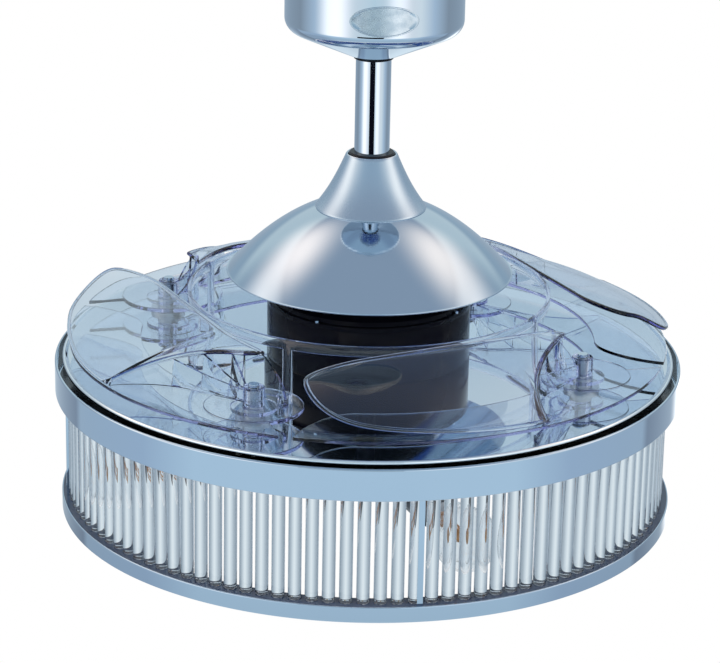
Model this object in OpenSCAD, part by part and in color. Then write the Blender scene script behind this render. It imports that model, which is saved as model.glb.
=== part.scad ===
// Ceiling fan with four clear blades that fold back over a glass rod drum light.
// Millimetres, +Z up. The origin is the centre of the ceiling face.
// Heights named *_z are measured from the top edge of the upper band (the deck),
// which lies deck_drop below the ceiling.

/* [Suspension] */
// Height from the ceiling face down to the top edge of the upper band
deck_drop = 360; // [330:1:480]
// Outer radius of the canopy
canopy_r = 79.4; // [76:0.2:95]
// Height of the canopy, down to its neck
canopy_h = 80.5; // [76:0.5:100]
// Slope of the canopy's conical underside in degrees
canopy_slope = 28; // [20:1:32]
// Sheet thickness of the canopy
canopy_wall = 1.4; // [1:0.1:2]
// Play round the downrod in the canopy's hole
rod_play = 2.8; // [2.2:0.1:6]
// Outer radius of the downrod
rod_r = 15.8; // [13:0.1:18]
// Wall of the downrod
rod_wall = 2; // [1.5:0.1:3]
// Radius of the hanging ball
ball_r = 27; // [24:0.5:30]
// Depth of the ball centre below the ceiling
ball_drop = 36; // [34:0.5:42]
// Gap between the bracket's legs and the canopy wall
bracket_gap = 3; // [2.6:0.1:5]
// Depth of the ceiling bracket strap from front to back
bracket_d = 30; // [26:1:36]
// Steel thickness of the ceiling bracket
bracket_t = 2.5; // [2:0.1:3.5]
// Distance between the two ceiling screw slots
slot_pitch = 90; // [80:1:100]
// End-to-end length of a ceiling screw slot
slot_len = 18; // [12:1:24]
// Radius of a ceiling screw slot's ends
slot_r = 3; // [2.5:0.1:4]

/* [Motor] */
// Outer radius of the motor housing
motor_r = 92.4; // [84:0.2:100]
// Height of the housing's cylindrical part
motor_h = 49; // [42:1:56]
// Wall of the motor housing
motor_wall = 3; // [2:0.1:4]
// Outer radius of the hollow motor shaft
shaft_r = 8.5; // [7:0.1:10]
// Wall of the hollow motor shaft
shaft_wall = 2.5; // [1.8:0.1:3]
// Rim radius of the dome
dome_r = 129.4; // [115:0.2:140]
// Height of the dome's rim above the deck
dome_rim_z = 80.4; // [78:0.2:90]
// Rise of the dome's curve
dome_rise = 69.6; // [60:0.2:76]
// Sheet thickness of the dome
dome_wall = 1.5; // [1:0.1:2.5]
// Radius of the cone cover at its foot
cone_foot_r = 49.2; // [45:0.1:54]
// Gap round the downrod at the cone cover's top, filled by its ring
cone_gap = 6.8; // [5:0.1:9]
// Height of the cone cover
cone_h = 49.5; // [44:0.5:60]

/* [Blades] */
// Radius of the four blade pivots round the fan's axis
pivot_r = 212; // [208:1:216]
// Angle through which the blades open
blade_open = 118; // [90:1:122]
// Thickness of the blade sheet
sheet_t = 3; // [2.4:0.1:4]
// Radius of the blades' outer edge when they are folded
blade_rim_r = 271.4; // [268:0.2:273]
// Least radius of the blades' inner edge when they are folded
blade_bore_r = 168; // [167:0.5:176]
// Height of the blade's inner edge above the deck
blade_crest_z = 63; // [56:1:70]
// Height of the blade's foot flange above the deck
flange_z = 19.3; // [18.5:0.1:24]
// Angle from the pivot to the blade's tip
blade_sweep = 75.2; // [72:0.2:78]
// Rise of the blade sheet's crown across its width
sheet_crown = 4; // [0:0.5:8]
// Radius of a blade's pivot shaft
pin_r = 5; // [4:0.1:6]

/* [Tray and gear] */
// Rim radius of the mirror tray
tray_r = 278; // [276:0.5:279.5]
// Sheet thickness of the tray
tray_t = 1.5; // [1.2:0.1:2]
// Teeth on each blade's pinion
pinion_teeth = 12; // [10:1:14]
// Teeth on the linking ring
ring_teeth = 96; // [88:4:100]
// Face width of the gear teeth
gear_w = 6; // [4:0.5:7]
// Radial clearance of shafts in their bushes and bearings
run_gap = 0.05; // [0.02:0.01:0.1]

/* [Light drum] */
// Outer radius of the upper band
band_r = 285; // [284:0.5:290]
// Height of the upper band
band_h = 28.3; // [26:0.1:36]
// Sheet thickness of the bands
band_wall = 1.8; // [1.2:0.1:2.5]
// How far the lower ring's face lies inside the upper band's face
ring_inset = 4.8; // [1:0.1:7]
// Height of the lower ring
ring_h = 14; // [10:0.5:20]
// Length of a glass rod
rod_len = 98; // [80:1:120]
// Radius of a glass rod
glass_r = 5; // [4:0.1:5.6]
// Number of glass rods
glass_count = 116; // [80:4:120]
// Depth of the glass rods' circle inside the upper band's face
glass_inset = 16.5; // [15:0.5:19]
// Radius of a lamp's globe
lamp_r = 28.5; // [24:0.5:30]
// Gap between a lamp's tip and the glass rods
lamp_gap = 3; // [2:0.5:9]
// Depth of the lamps' axes below the deck
lamp_drop = 90; // [84:1:94]

/* [Hidden] */

$fn = 96;
fine_fn = 180;
pin_fn = 32;
// how far a cutting shape runs past the face that it cuts
past = 1;

// the four blades' pivots; the others follow the first anticlockwise
blade_count = 4;
blade_step = 360 / blade_count;
first_pivot_az = -117;
lamp_az = -68;
strut_az = -80;

// suspension
canopy_hole_r = rod_r + rod_play;
ball_top = 16;
ball_low = 21;
seat_gap = 0.06;
seat_r = ball_r + seat_gap;
seat_wall = 5;
seat_rim = 1;
rod_top_z = ball_top - ball_drop;
leg_h = ball_drop + ball_low;
ear_x = canopy_r - canopy_wall - bracket_gap;
ear_h = 24;
leg_x = ball_r + seat_wall + 3.5;
ear_drop = 14;
cross_pin_r = 3;
yoke_h = 38;
yoke_socket = 24;
yoke_r = rod_r + 4.7;
yoke_flange_r = 30;
yoke_flange_t = 4;
yoke_pin_drop = 12;
dish_r = 38;
dish_depth = 5.7;

// height of the dome's skin at radius r
function dome_z(r) = dome_rim_z + dome_rise * (1 - pow(r / dome_r, 2.1));
yoke_z = dome_z(dish_r) - dish_depth;
rod_foot_z = yoke_z + yoke_h - yoke_socket - deck_drop;
cone_wall = 2;
cone_top_r = rod_r + cone_gap;
cone_z = dome_z(cone_foot_r - cone_wall);
cone_ring_h = 1.8;

// motor
tray_top_z = 3;
housing_z = tray_top_z;
cover_z = housing_z + motor_h;
cover_h = 28;
cover_wall = 4;
bearing_r = shaft_r + 5.5;
bearing_h = 8;
boss_wall = 4;
nut_r = 16;
nut_h = 7;
stator_r = 70;
stator_h = 22;
coil_count = 12;
coil_ring_r = 52;
coil_r = 9;
coil_h = 30;
air_gap = 3;
stator_z = housing_z + 16;

// blades: pivot hardware
bush_r = 10;
bush_top_z = 12;
bush_foot_z = -11;
bush_flange_r = 16;
bush_flange_t = 3;
hub_gap = 0.4;
hub_z = bush_top_z + hub_gap;
boss_r = 20;
post_r = 9;
post_top_z = flange_z + 16.7;
post_cap = 3;
hub_screw_r = 2;
hub_screw_len = 9;

// collar
collar_r = 163;
collar_t = 3;
collar_top_z = 64;
collar_lip_h = 9;
collar_leg_az = 2;
leg_w = 9;
leg_foot_h = 10;
leg_foot_len = 10;

// blades: crest, inner edge and tip
crest_x = -12;
crest_start_y = 17;
crest_end_a = 29;
crest_end_z = 25;
crest_drop = 2;
apex_a = 2.5;
root_span_a = 17;
root_in = 18;
root_drop = 6;
turn_a = 20;
tip_r = 239;
crest_n = 8;
wing_n = 18;
chord_n = 6;

// blades: foot flange, skirt and ribs
flange_in_r = 206;
flange_end_a = 76;
flange_round_a = 11;
hub_back_a = 11.5;
hub_disc_r = 43;
skirt_r = 27;
skirt_slope = 47;
rib_t = 2.4;
wall_share = 0.8;
// how far joined faces of one moulding run into each other
bite = 0.5;

// gear train under the tray
gear_module = 2 * pivot_r / (ring_teeth + pinion_teeth);
pinion_pitch_r = gear_module * pinion_teeth / 2;
ring_pitch_r = gear_module * ring_teeth / 2;
tooth_root = 1.15;
tooth_tip = 0.92;
gear_z = -12 - gear_w;
ring_rise = 1;
ring_wall = 6;
ring_bore_r = ring_pitch_r - tooth_root * gear_module - ring_wall;
ring_turn = blade_open * pinion_teeth / ring_teeth;
carrier_wall = 12;
carrier_lip = 6;
key_a = 2;
key_h = 3;
key_play_a = 0.6;
barrel_r = 15;

// drum
band_in_r = band_r - band_wall;
ring_r = band_r - ring_inset;
glass_ring_r = band_r - glass_inset;
lip_t = 1.3;
lip_reach = 3;
rod_top = -band_h;
rod_foot = rod_top - rod_len;
lip_in_r = glass_ring_r - glass_r - lip_reach;
strut_w = 5;
strut_t = 2.2;
strut_in_r = glass_ring_r + glass_r + 0.8;
pan_t = 1.5;
pan_gap = 1;
pan_foot_z = lip_t - band_h;
hub_r = 55;
hub_wall = 1.5;
hub_foot_z = -lamp_drop - 22;
arm_r = 6;
lamp_ring_r = glass_ring_r - glass_r - lamp_gap - lamp_r;
lamp_neck_len = 41.5;
holder_r = 17;
holder_len = 50;
holder_in_r = lamp_ring_r - lamp_r - lamp_neck_len - holder_len;
cap_r = 13;
cap_len = 24;
neck_r = 12.8;

module at_deck() {
    translate([0, 0, -deck_drop]) children();
}

module ring(r_out, r_in, h, z = 0) {
    translate([0, 0, z]) difference() {
        cylinder(r = r_out, h = h, $fn = fine_fn);
        translate([0, 0, -past]) cylinder(r = r_in, h = h + 2 * past, $fn = fine_fn);
    }
}

module around(n, az0 = 0) {
    for (k = [0 : n - 1]) rotate([0, 0, az0 + 360 / n * k]) children();
}

// a cross hole or cross pin through the axis, along X or, turned, along Y
module cross_bar(r, len, turn = 0) {
    rotate([0, 90, turn]) cylinder(r = r, h = len, center = true, $fn = pin_fn);
}

// ---- suspension ----

module ceiling_bracket() {
    color("silver") difference() {
        union() {
            bracket_plate(ear_x, -bracket_t);
            bracket_plate(leg_x, -leg_h);
            bracket_sides(ear_x, ear_h);
            bracket_sides(leg_x, leg_h);
            translate([0, 0, -leg_h]) cylinder(r = ball_r + seat_wall, h = ball_low + seat_rim);
        }
        translate([0, 0, -ball_drop]) sphere(r = seat_r);
        translate([0, 0, -ball_drop]) cylinder(r = seat_r, h = ball_r);
        translate([0, 0, -leg_h - past]) cylinder(r = canopy_hole_r, h = ball_low + past);
        for (s = [-1, 1]) translate([s * slot_pitch / 2, 0, -bracket_t - past]) screw_slot();
        translate([0, 0, -ear_drop]) cross_bar(canopy_screw_r, 2 * canopy_r);
    }
}

module bracket_plate(x, z) {
    translate([-x, -bracket_d / 2, z]) cube([2 * x, bracket_d, bracket_t]);
}

module bracket_sides(x, h) {
    for (s = [-1, 1]) translate([s * (x - bracket_t / 2) - bracket_t / 2, -bracket_d / 2, -h])
        cube([bracket_t, bracket_d, h]);
}

module screw_slot() {
    half = slot_len / 2 - slot_r;
    h = bracket_t + 2 * past;
    for (e = [-half, half]) translate([e, 0, 0]) cylinder(r = slot_r, h = h, $fn = pin_fn);
    translate([-half, -slot_r, 0]) cube([2 * half, 2 * slot_r, h]);
}

// half section of the canopy from its neck up: cone, round corner, straight wall
canopy_corner = 9;
module canopy_profile(r, z0, corner) {
    n = 8;
    turn = 90 - canopy_slope;
    wall_z = z0 + (r - canopy_hole_r) * tan(canopy_slope) + corner * tan(turn / 2);
    corner_pts = [for (i = [0 : n]) let (a = -turn * (1 - i / n))
        [r - corner + corner * cos(a), wall_z + corner * sin(a)]];
    polygon(concat([[0, z0], [canopy_hole_r, z0]], corner_pts, [[r, canopy_h + z0], [0, canopy_h + z0]]));
}

module canopy() {
    color("lightsteelblue") translate([0, 0, -canopy_h]) difference() {
        rotate_extrude($fn = fine_fn) difference() {
            canopy_profile(canopy_r, 0, canopy_corner);
            canopy_profile(canopy_r - canopy_wall, canopy_wall / cos(canopy_slope),
                canopy_corner - canopy_wall);
            square([canopy_hole_r, canopy_h]);
        }
        translate([0, 0, canopy_h - ear_drop]) cross_bar(canopy_screw_r + 0.4, 2 * canopy_r + canopy_wall);
    }
}

canopy_screw_r = 2;
screw_head_h = 2.4;
module canopy_screws() {
    shank = canopy_r - ear_x + bracket_t;
    color("gainsboro") for (s = [-1, 1])
        translate([s * (ear_x - bracket_t), 0, -ear_drop]) rotate([0, s * 90, 0]) {
            cylinder(r = canopy_screw_r, h = shank, $fn = pin_fn);
            translate([0, 0, shank]) cylinder(r = 4.2, h = screw_head_h, $fn = pin_fn);
        }
}

// it lies on the ball's open side, under the bracket's top plate
module receiver_box() {
    box = [56, 22, 5];
    color("dimgray") translate([-box[0] / 2, -box[1] / 2, -bracket_t - box[2]]) cube(box);
}

module downrod() {
    color("lightsteelblue") difference() {
        ring(rod_r, rod_r - rod_wall, rod_top_z - rod_foot_z, rod_foot_z);
        translate([0, 0, -ball_drop]) cross_bar(cross_pin_r, 3 * rod_r, 90);
        translate([0, 0, rod_foot_z + yoke_socket - yoke_pin_drop]) cross_bar(cross_pin_r, 3 * rod_r);
    }
}

module hanger_ball() {
    color("dimgray") translate([0, 0, -ball_drop]) difference() {
        sphere(r = ball_r);
        translate([0, 0, -ball_r]) cylinder(r = rod_r, h = 2 * ball_r);
        translate([0, 0, ball_top]) cylinder(r = 2 * ball_r, h = ball_r);
        translate([0, 0, -ball_low - ball_r]) cylinder(r = 2 * ball_r, h = ball_r);
        cross_bar(cross_pin_r, 3 * ball_r, 90);
    }
}

module ball_pin() {
    end_gap = 2;
    color("silver") translate([0, 0, -ball_drop]) cross_bar(cross_pin_r, 2 * (ball_r - end_gap), 90);
}

module canopy_seal() {
    h = 2.2;
    gap = 0.8;
    lip = 1.8;
    color("dimgray") translate([0, 0, -canopy_h - gap - h]) rotate_extrude()
        polygon([[rod_r, 0], [rod_r + lip / 2, 0], [rod_r + lip, h - 0.6], [rod_r + lip, h], [rod_r, h]]);
}

module rod_yoke() {
    color("silver") at_deck() translate([0, 0, yoke_z]) difference() {
        union() {
            cylinder(r = yoke_r, h = yoke_h);
            cylinder(r = yoke_flange_r, h = yoke_flange_t);
        }
        translate([0, 0, yoke_h - yoke_socket]) cylinder(r = rod_r, h = yoke_socket + past);
        translate([0, 0, -past]) cylinder(r = shaft_r, h = yoke_h);
        translate([0, 0, yoke_h - yoke_pin_drop]) cross_bar(cross_pin_r, 3 * yoke_r);
    }
}

module yoke_pin() {
    color("silver") at_deck() translate([0, 0, yoke_z + yoke_h - yoke_pin_drop])
        cross_bar(cross_pin_r, 2 * (yoke_r + past));
}

// radius of the cone cover at a height above its foot: a flared skirt under a straight cone
function cone_radius(z) = let (u = 1 - z / cone_h, flare = 0.3)
    cone_top_r + (cone_foot_r - cone_top_r) * (u * (1 - flare) + flare * pow(u, 3));

module cone_cover() {
    n = 16;
    outer = [for (i = [0 : n]) let (z = cone_h * i / n) [cone_radius(z), z]];
    inner = [for (i = [n : -1 : 0]) outer[i] - [cone_wall, 0]];
    color("lightslategray") at_deck() translate([0, 0, cone_z]) rotate_extrude($fn = fine_fn)
        polygon(concat(outer, inner));
}

module cone_ring() {
    lip = 1.2;
    color("black") at_deck() translate([0, 0, cone_z + cone_h]) rotate_extrude()
        polygon([[rod_r, -cone_ring_h], [cone_top_r - cone_wall, -cone_ring_h], [cone_top_r - cone_wall, 0],
            [cone_top_r - cone_wall - lip, lip], [rod_r, lip]]);
}

module dome() {
    n = 26;
    outer = [for (i = [0 : n]) let (r = dish_r + (dome_r - dish_r) * i / n) [r, dome_z(r)]];
    inner = [for (i = [n : -1 : 0]) outer[i] - [0, dome_wall]];
    color("lightslategray") at_deck() rotate_extrude($fn = fine_fn)
        polygon(concat([[shaft_r, yoke_z], [yoke_flange_r, yoke_z]], outer, inner,
            [[yoke_flange_r, yoke_z - dome_wall], [shaft_r, yoke_z - dome_wall]]));
}

// ---- motor: the part that stands still ----

module motor_shaft() {
    foot = hub_foot_z - nut_h - past;
    color("silver") at_deck()
        ring(shaft_r, shaft_r - shaft_wall, yoke_z + yoke_h - yoke_socket - foot, foot);
}

module shaft_nuts() {
    seats = [yoke_z - dome_wall, pan_foot_z, hub_foot_z];
    color("gold") at_deck() for (z = seats) translate([0, 0, z - nut_h])
        difference() {
            cylinder(r = nut_r, h = nut_h, $fn = 6);
            translate([0, 0, -past]) cylinder(r = shaft_r, h = nut_h + 2 * past);
        }
}

module stator_core() {
    color("gray") at_deck() translate([0, 0, stator_z]) difference() {
        cylinder(r = stator_r, h = stator_h, $fn = fine_fn);
        translate([0, 0, -past]) cylinder(r = shaft_r, h = stator_h + 2 * past);
        around(coil_count) translate([coil_ring_r, 0, -past])
            cylinder(r = coil_r, h = stator_h + 2 * past, $fn = pin_fn);
    }
}

module stator_windings() {
    color("darkorange") at_deck() around(coil_count)
        translate([coil_ring_r, 0, stator_z - (coil_h - stator_h) / 2])
            cylinder(r = coil_r, h = coil_h, $fn = pin_fn);
}

// ---- light drum ----

module light_pan() {
    color("white") at_deck() ring(band_in_r - pan_gap, shaft_r, pan_t, pan_foot_z);
}

// the band turns in under the pan and carries the glass rods' upper ends
module upper_band() {
    color("lightsteelblue") at_deck() rotate_extrude($fn = fine_fn) union() {
        translate([band_in_r, -band_h]) square([band_wall, band_h]);
        translate([lip_in_r, -band_h]) square([band_r - lip_in_r, lip_t]);
    }
}

module lower_ring() {
    color("lightsteelblue") at_deck() rotate_extrude($fn = fine_fn) union() {
        translate([ring_r - band_wall, rod_foot - ring_h]) square([band_wall, ring_h]);
        translate([lip_in_r, rod_foot - lip_t]) square([ring_r - lip_in_r, lip_t]);
    }
}

module glass_rods() {
    color("aliceblue") at_deck() around(glass_count)
        translate([glass_ring_r, 0, rod_foot]) cylinder(r = glass_r, h = rod_len, $fn = pin_fn);
}

module struts() {
    color("silver") at_deck() around(4, strut_az)
        translate([strut_in_r, -strut_w / 2, rod_foot]) cube([strut_t, strut_w, rod_len]);
}

module strut_screws() {
    color("silver") at_deck() around(4, strut_az)
        translate([strut_in_r + strut_t / 2, 0, rod_foot - lip_t - screw_head_h])
            cylinder(r = 2.4, h = screw_head_h, $fn = pin_fn);
}

module lamp_hub() {
    hub_h = pan_foot_z - hub_foot_z;
    color("white") at_deck() difference() {
        translate([0, 0, hub_foot_z]) cylinder(r = hub_r, h = hub_h);
        translate([0, 0, hub_foot_z + hub_wall]) cylinder(r = hub_r - hub_wall, h = hub_h);
        translate([0, 0, hub_foot_z - past]) cylinder(r = shaft_r, h = hub_wall + 2 * past);
        at_lamps() cylinder(r = arm_r, h = 2 * hub_r, $fn = pin_fn);
    }
}

// the lamps lie flat, pointing outwards: +Z is turned to each lamp's axis
module at_lamps() {
    around(4, lamp_az) translate([0, 0, -lamp_drop]) rotate([0, 90, 0]) children();
}

holder_end = holder_in_r + holder_len;
module lamp_holders() {
    arm_start = hub_r - hub_wall;
    arm_len = holder_in_r - arm_start + past;
    color("black") at_deck() at_lamps() difference() {
        union() {
            translate([0, 0, arm_start]) cylinder(r = arm_r, h = arm_len, $fn = pin_fn);
            translate([0, 0, holder_in_r]) cylinder(r = holder_r, h = holder_len);
        }
        translate([0, 0, holder_end - cap_len]) cylinder(r = cap_r, h = cap_len + past);
    }
}

module lamp_caps() {
    color("silver") at_deck() at_lamps() translate([0, 0, holder_end - cap_len])
        cylinder(r = cap_r, h = cap_len);
}

// half section of a lamp's glass: an S-shaped flank from the neck, then the round globe
module lamp_globes() {
    n = 10;
    arc_n = 24;
    start = 24;
    wall = 0.8;
    flank_r = lamp_r * cos(start);
    flank_len = lamp_ring_r - lamp_r * sin(start) - holder_end;
    flank = [for (i = [0 : n]) let (u = i / n, s = u * u * (3 - 2 * u))
        [neck_r + (flank_r - neck_r) * s, holder_end + flank_len * u]];
    globe = [for (i = [1 : arc_n]) let (a = -start + (90 + start) * i / arc_n)
        [lamp_r * cos(a), lamp_ring_r + lamp_r * sin(a)]];
    inner_globe = [for (i = [arc_n : -1 : 1]) let (a = -start + (90 + start) * i / arc_n)
        [(lamp_r - wall) * cos(a), lamp_ring_r + (lamp_r - wall) * sin(a)]];
    inner_flank = [for (i = [n : -1 : 0]) flank[i] - [wall, 0]];
    color("azure", 0.5) at_deck() at_lamps()
        rotate_extrude() polygon(concat(flank, globe, inner_globe, inner_flank));
}

// a glass stem that carries four filaments between two discs
module lamp_filaments() {
    stem_h = 26;
    wire_h = 32;
    wire_r = 0.8;
    disc_r = 7;
    color("orange") at_deck() at_lamps() translate([0, 0, holder_end]) {
        cylinder(r = 3, h = stem_h, $fn = pin_fn);
        around(4) translate([disc_r - 2 * wire_r, 0, stem_h]) cylinder(r = wire_r, h = wire_h, $fn = 16);
        for (z = [stem_h - 2, stem_h + wire_h])
            translate([0, 0, z]) cylinder(r = disc_r, h = 2, $fn = pin_fn);
    }
}

// ---- rotor ----

module motor_housing() {
    color("black") at_deck() translate([0, 0, housing_z]) difference() {
        union() {
            difference() {
                cylinder(r = motor_r, h = motor_h, $fn = fine_fn);
                translate([0, 0, motor_wall]) cylinder(r = motor_r - motor_wall, h = motor_h, $fn = fine_fn);
            }
            cylinder(r = bearing_r + boss_wall, h = bearing_h);
        }
        translate([0, 0, -past]) cylinder(r = bearing_r, h = bearing_h + 2 * past);
    }
}

// the upper tier: a rim with the screws, a step and a sloped shoulder up to the bearing's boss
module motor_cover() {
    rim_h = cover_wall;
    step_r = motor_r - 4.4;
    step_h = 8;
    brow_r = motor_r - 30.4;
    seat_out_r = bearing_r + boss_wall;
    color("black") at_deck() translate([0, 0, cover_z]) difference() {
        rotate_extrude($fn = fine_fn) polygon([[bearing_r, cover_h - 14], [seat_out_r, cover_h - 14],
            [seat_out_r, cover_h - 5], [brow_r - 2, step_h + 12], [step_r - cover_wall, step_h - 2],
            [step_r - cover_wall, 0], [motor_r, 0], [motor_r, rim_h], [step_r, rim_h], [step_r, step_h],
            [brow_r, step_h + 16], [seat_out_r + 6, cover_h], [bearing_r, cover_h]]);
        cover_screw_places(-past) cylinder(r = 1, h = rim_h + 2 * past, $fn = pin_fn);
    }
}

module cover_screw_places(z) {
    edge = 2.2;
    around(4, 60) translate([motor_r - edge, 0, z]) children();
}

module cover_screws() {
    color("silver") at_deck() translate([0, 0, cover_z]) {
        cover_screw_places(cover_wall) cylinder(r = 2, h = 2, $fn = pin_fn);
        cover_screw_places(0) cylinder(r = 1, h = cover_wall, $fn = pin_fn);
    }
}

module magnet_ring() {
    h = stator_h + 2;
    color("dimgray") at_deck() ring(motor_r - motor_wall, stator_r + air_gap, h, stator_z - 1);
}

module motor_bearings() {
    color("silver") at_deck() for (z = [housing_z, cover_z + cover_h - 11])
        ring(bearing_r, shaft_r + run_gap, bearing_h, z);
}

// flat mirror floor with a rolled rim that stays inside the band
tray_bore_r = bearing_r + 10;
module tray() {
    z = tray_top_z - tray_t;
    rim_top = z + 5.4;
    color("whitesmoke") at_deck() difference() {
        rotate_extrude($fn = fine_fn) polygon([[tray_bore_r, z], [tray_bore_r, tray_top_z],
            [tray_r - 10, tray_top_z], [tray_r - 8, tray_top_z + 0.4], [tray_r - 5, rim_top - 0.4],
            [tray_r - 2, rim_top], [tray_r, rim_top - tray_t], [tray_r, z + 0.5], [tray_r - 1.4, z + 0.5],
            [tray_r - tray_t, rim_top - 1 - tray_t], [tray_r - 4.4, rim_top - 0.6 - tray_t],
            [tray_r - 7.4, z + 0.2], [tray_r - 9.6, z]]);
        at_pivots(0) cylinder(r = bush_r, h = 2 * tray_top_z);
    }
}

module at_pivots(z) {
    around(blade_count, first_pivot_az) translate([pivot_r, 0, z]) children();
}

module tray_screws() {
    color("silver") at_deck() around(6) translate([motor_r - 32.4, 0, tray_top_z - tray_t - screw_head_h])
        cylinder(r = 4, h = screw_head_h, $fn = pin_fn);
}

module pivot_bushes() {
    h = bush_top_z - bush_foot_z;
    color("goldenrod") at_deck() at_pivots(bush_foot_z) difference() {
        union() {
            cylinder(r = bush_r, h = h);
            translate([0, 0, tray_top_z - bush_foot_z]) cylinder(r = bush_flange_r, h = bush_flange_t);
        }
        translate([0, 0, -past]) cylinder(r = pin_r + run_gap, h = h + 2 * past);
    }
}

module spring_barrels() {
    h = tray_top_z - tray_t - bush_foot_z;
    color("silver") at_deck() at_pivots(bush_foot_z) ring(barrel_r, bush_r, h);
}

// the hoop that the ring gear turns on, with a lip under it and two keys that stop its travel
module gear_carrier() {
    hoop_r = ring_bore_r - run_gap;
    lip_z = gear_z - 2;
    color("gray") at_deck() {
        ring(hoop_r, ring_bore_r - carrier_wall, tray_top_z - tray_t - lip_z, lip_z);
        ring(ring_bore_r + carrier_lip, ring_bore_r - carrier_wall, 1.5, lip_z);
        intersection() {
            ring(ring_bore_r + key_h - bite, hoop_r - 1, gear_w + 1.5, gear_z - 1);
            stop_keys() arc_wedge(0, key_a);
        }
    }
}

module stop_keys() {
    around(2, first_pivot_az + blade_step / 2) children();
}

// a flat wedge from angle a0 to a1, wide enough to cut any ring of the gear train
module arc_wedge(a0, a1) {
    n = 6;
    translate([0, 0, gear_z - 5]) linear_extrude(gear_w + 10)
        polygon(concat([[0, 0]], [for (i = [0 : n]) let (a = a0 + (a1 - a0) * i / n)
            [pivot_r * cos(a), pivot_r * sin(a)]]));
}

module link_ring() {
    h = gear_w - ring_rise;
    color("ivory") at_deck() difference() {
        translate([0, 0, gear_z]) rotate([0, 0, first_pivot_az + 180 / ring_teeth])
            linear_extrude(h) gear_outline(ring_teeth, ring_pitch_r);
        translate([0, 0, gear_z - past]) cylinder(r = ring_bore_r, h = h + 2 * past, $fn = fine_fn);
        intersection() {
            ring(ring_bore_r + key_h, ring_bore_r - past, h + 2 * past, gear_z - past);
            stop_keys() arc_wedge(-key_play_a, key_a + ring_turn + key_play_a);
        }
    }
}

// one gear outline: straight-flanked teeth between a root and a tip circle
module gear_outline(teeth, pitch_r) {
    root = pitch_r - tooth_root * gear_module;
    tip = pitch_r + tooth_tip * gear_module;
    step = 360 / teeth;
    polygon([for (i = [0 : teeth - 1]) for (p = [[-0.36, root], [-0.12, tip], [0.12, tip], [0.36, root]])
        [p[1] * cos((i + p[0]) * step), p[1] * sin((i + p[0]) * step)]]);
}

// ---- blades: each turns about its own pivot ----

module at_pivot(k, z = 0) {
    at_deck() rotate([0, 0, first_pivot_az + blade_step * (k - 1)]) translate([pivot_r, 0, z]) children();
}

module pinion(k) {
    color("ivory") at_pivot(k, gear_z) difference() {
        rotate([0, 0, 180]) linear_extrude(gear_w) gear_outline(pinion_teeth, pinion_pitch_r);
        translate([0, 0, -past]) cylinder(r = pin_r, h = gear_w + 2 * past);
    }
}

module pivot_shaft(k) {
    shaft_h = post_top_z - post_cap - gear_z;
    color("silver") at_pivot(k, gear_z) difference() {
        cylinder(r = pin_r, h = shaft_h);
        translate([0, 0, shaft_h + post_cap - hub_screw_len - past])
            cylinder(r = hub_screw_r, h = hub_screw_len, $fn = pin_fn);
    }
}

module hub_screws(k) {
    color("silver") at_pivot(k, post_top_z) {
        cylinder(r = 4.5, h = 2.5, $fn = pin_fn);
        translate([0, 0, -hub_screw_len]) cylinder(r = hub_screw_r, h = hub_screw_len, $fn = pin_fn);
    }
}

// A blade is drawn folded, with its pivot at azimuth 0. Its sheet is described in polar form,
// as radius and clockwise angle about the fan's axis, or by how far a point lies clockwise.

// how far round the tip's corner an angle lies, 0 before it and 1 at the tip
function tip_round(a, span) = let (v = max(0, 1 - (blade_sweep - a) / span)) 1 - sqrt(max(0, 1 - v * v));
// how close to the apex an angle lies, 1 at the apex and 0 where the straight edge begins
function root_ease(a) = pow(max(0, 1 - (a - apex_a) / root_span_a), 2);
function straight_r(a) = blade_bore_r / cos(a - blade_sweep * 0.48);
function edge_in_r(a) = straight_r(a) - root_in * root_ease(a)
    + (tip_r - straight_r(blade_sweep)) * tip_round(a, 11);
function edge_in_z(a) = blade_crest_z - root_drop * root_ease(a) - crest_drop * tip_round(a, 25);
function edge_out_r(a) = blade_rim_r - (blade_rim_r - tip_r) * tip_round(a, 13);
function edge_out_z(a) = let (u = max(0, (a - crest_end_a) / (blade_sweep - crest_end_a)))
    crest_end_z + (blade_crest_z - crest_drop - crest_end_z) * (0.38 * pow(u, 1.6) + 0.62 * pow(u, 9));

function polar_pt(r, a, z) = [r * cos(a), -r * sin(a), z];

// the crest: from beside the pivot it runs along the blade, then bends out to the rim
crest_end_y = blade_rim_r * sin(crest_end_a);
crest_end_x = blade_rim_r * cos(crest_end_a) - pivot_r;
function crest_pt(s) = let (y = crest_start_y + (crest_end_y - crest_start_y) * s, u = y / crest_end_y)
    [pivot_r + crest_x + (crest_end_x - crest_x) * pow(u, 4), -y,
     blade_crest_z - crest_drop - (blade_crest_z - crest_drop - crest_end_z) * u * u];

// rows run from the root to the tip, closer together where the tip turns
function tipward(i) = sin(89 * (i - crest_n) / wing_n);
function inner_pt(i) = let (a = i <= crest_n ? apex_a + (turn_a - apex_a) * i / crest_n
        : turn_a + (blade_sweep - turn_a) * tipward(i))
    polar_pt(edge_in_r(a), a, edge_in_z(a));
function outer_pt(i) = i <= crest_n ? crest_pt(i / crest_n)
    : let (a = crest_end_a + (blade_sweep - crest_end_a) * tipward(i))
        polar_pt(edge_out_r(a), a, edge_out_z(a));
function sheet_pt(i, j) = let (t = j / chord_n, p = inner_pt(i) * (1 - t) + outer_pt(i) * t,
    fade = min(1, i / crest_n) * (1 - pow(max(0, i - crest_n) / wing_n, 3)))
    p + [0, 0, sheet_crown * 4 * t * (1 - t) * fade];

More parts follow.
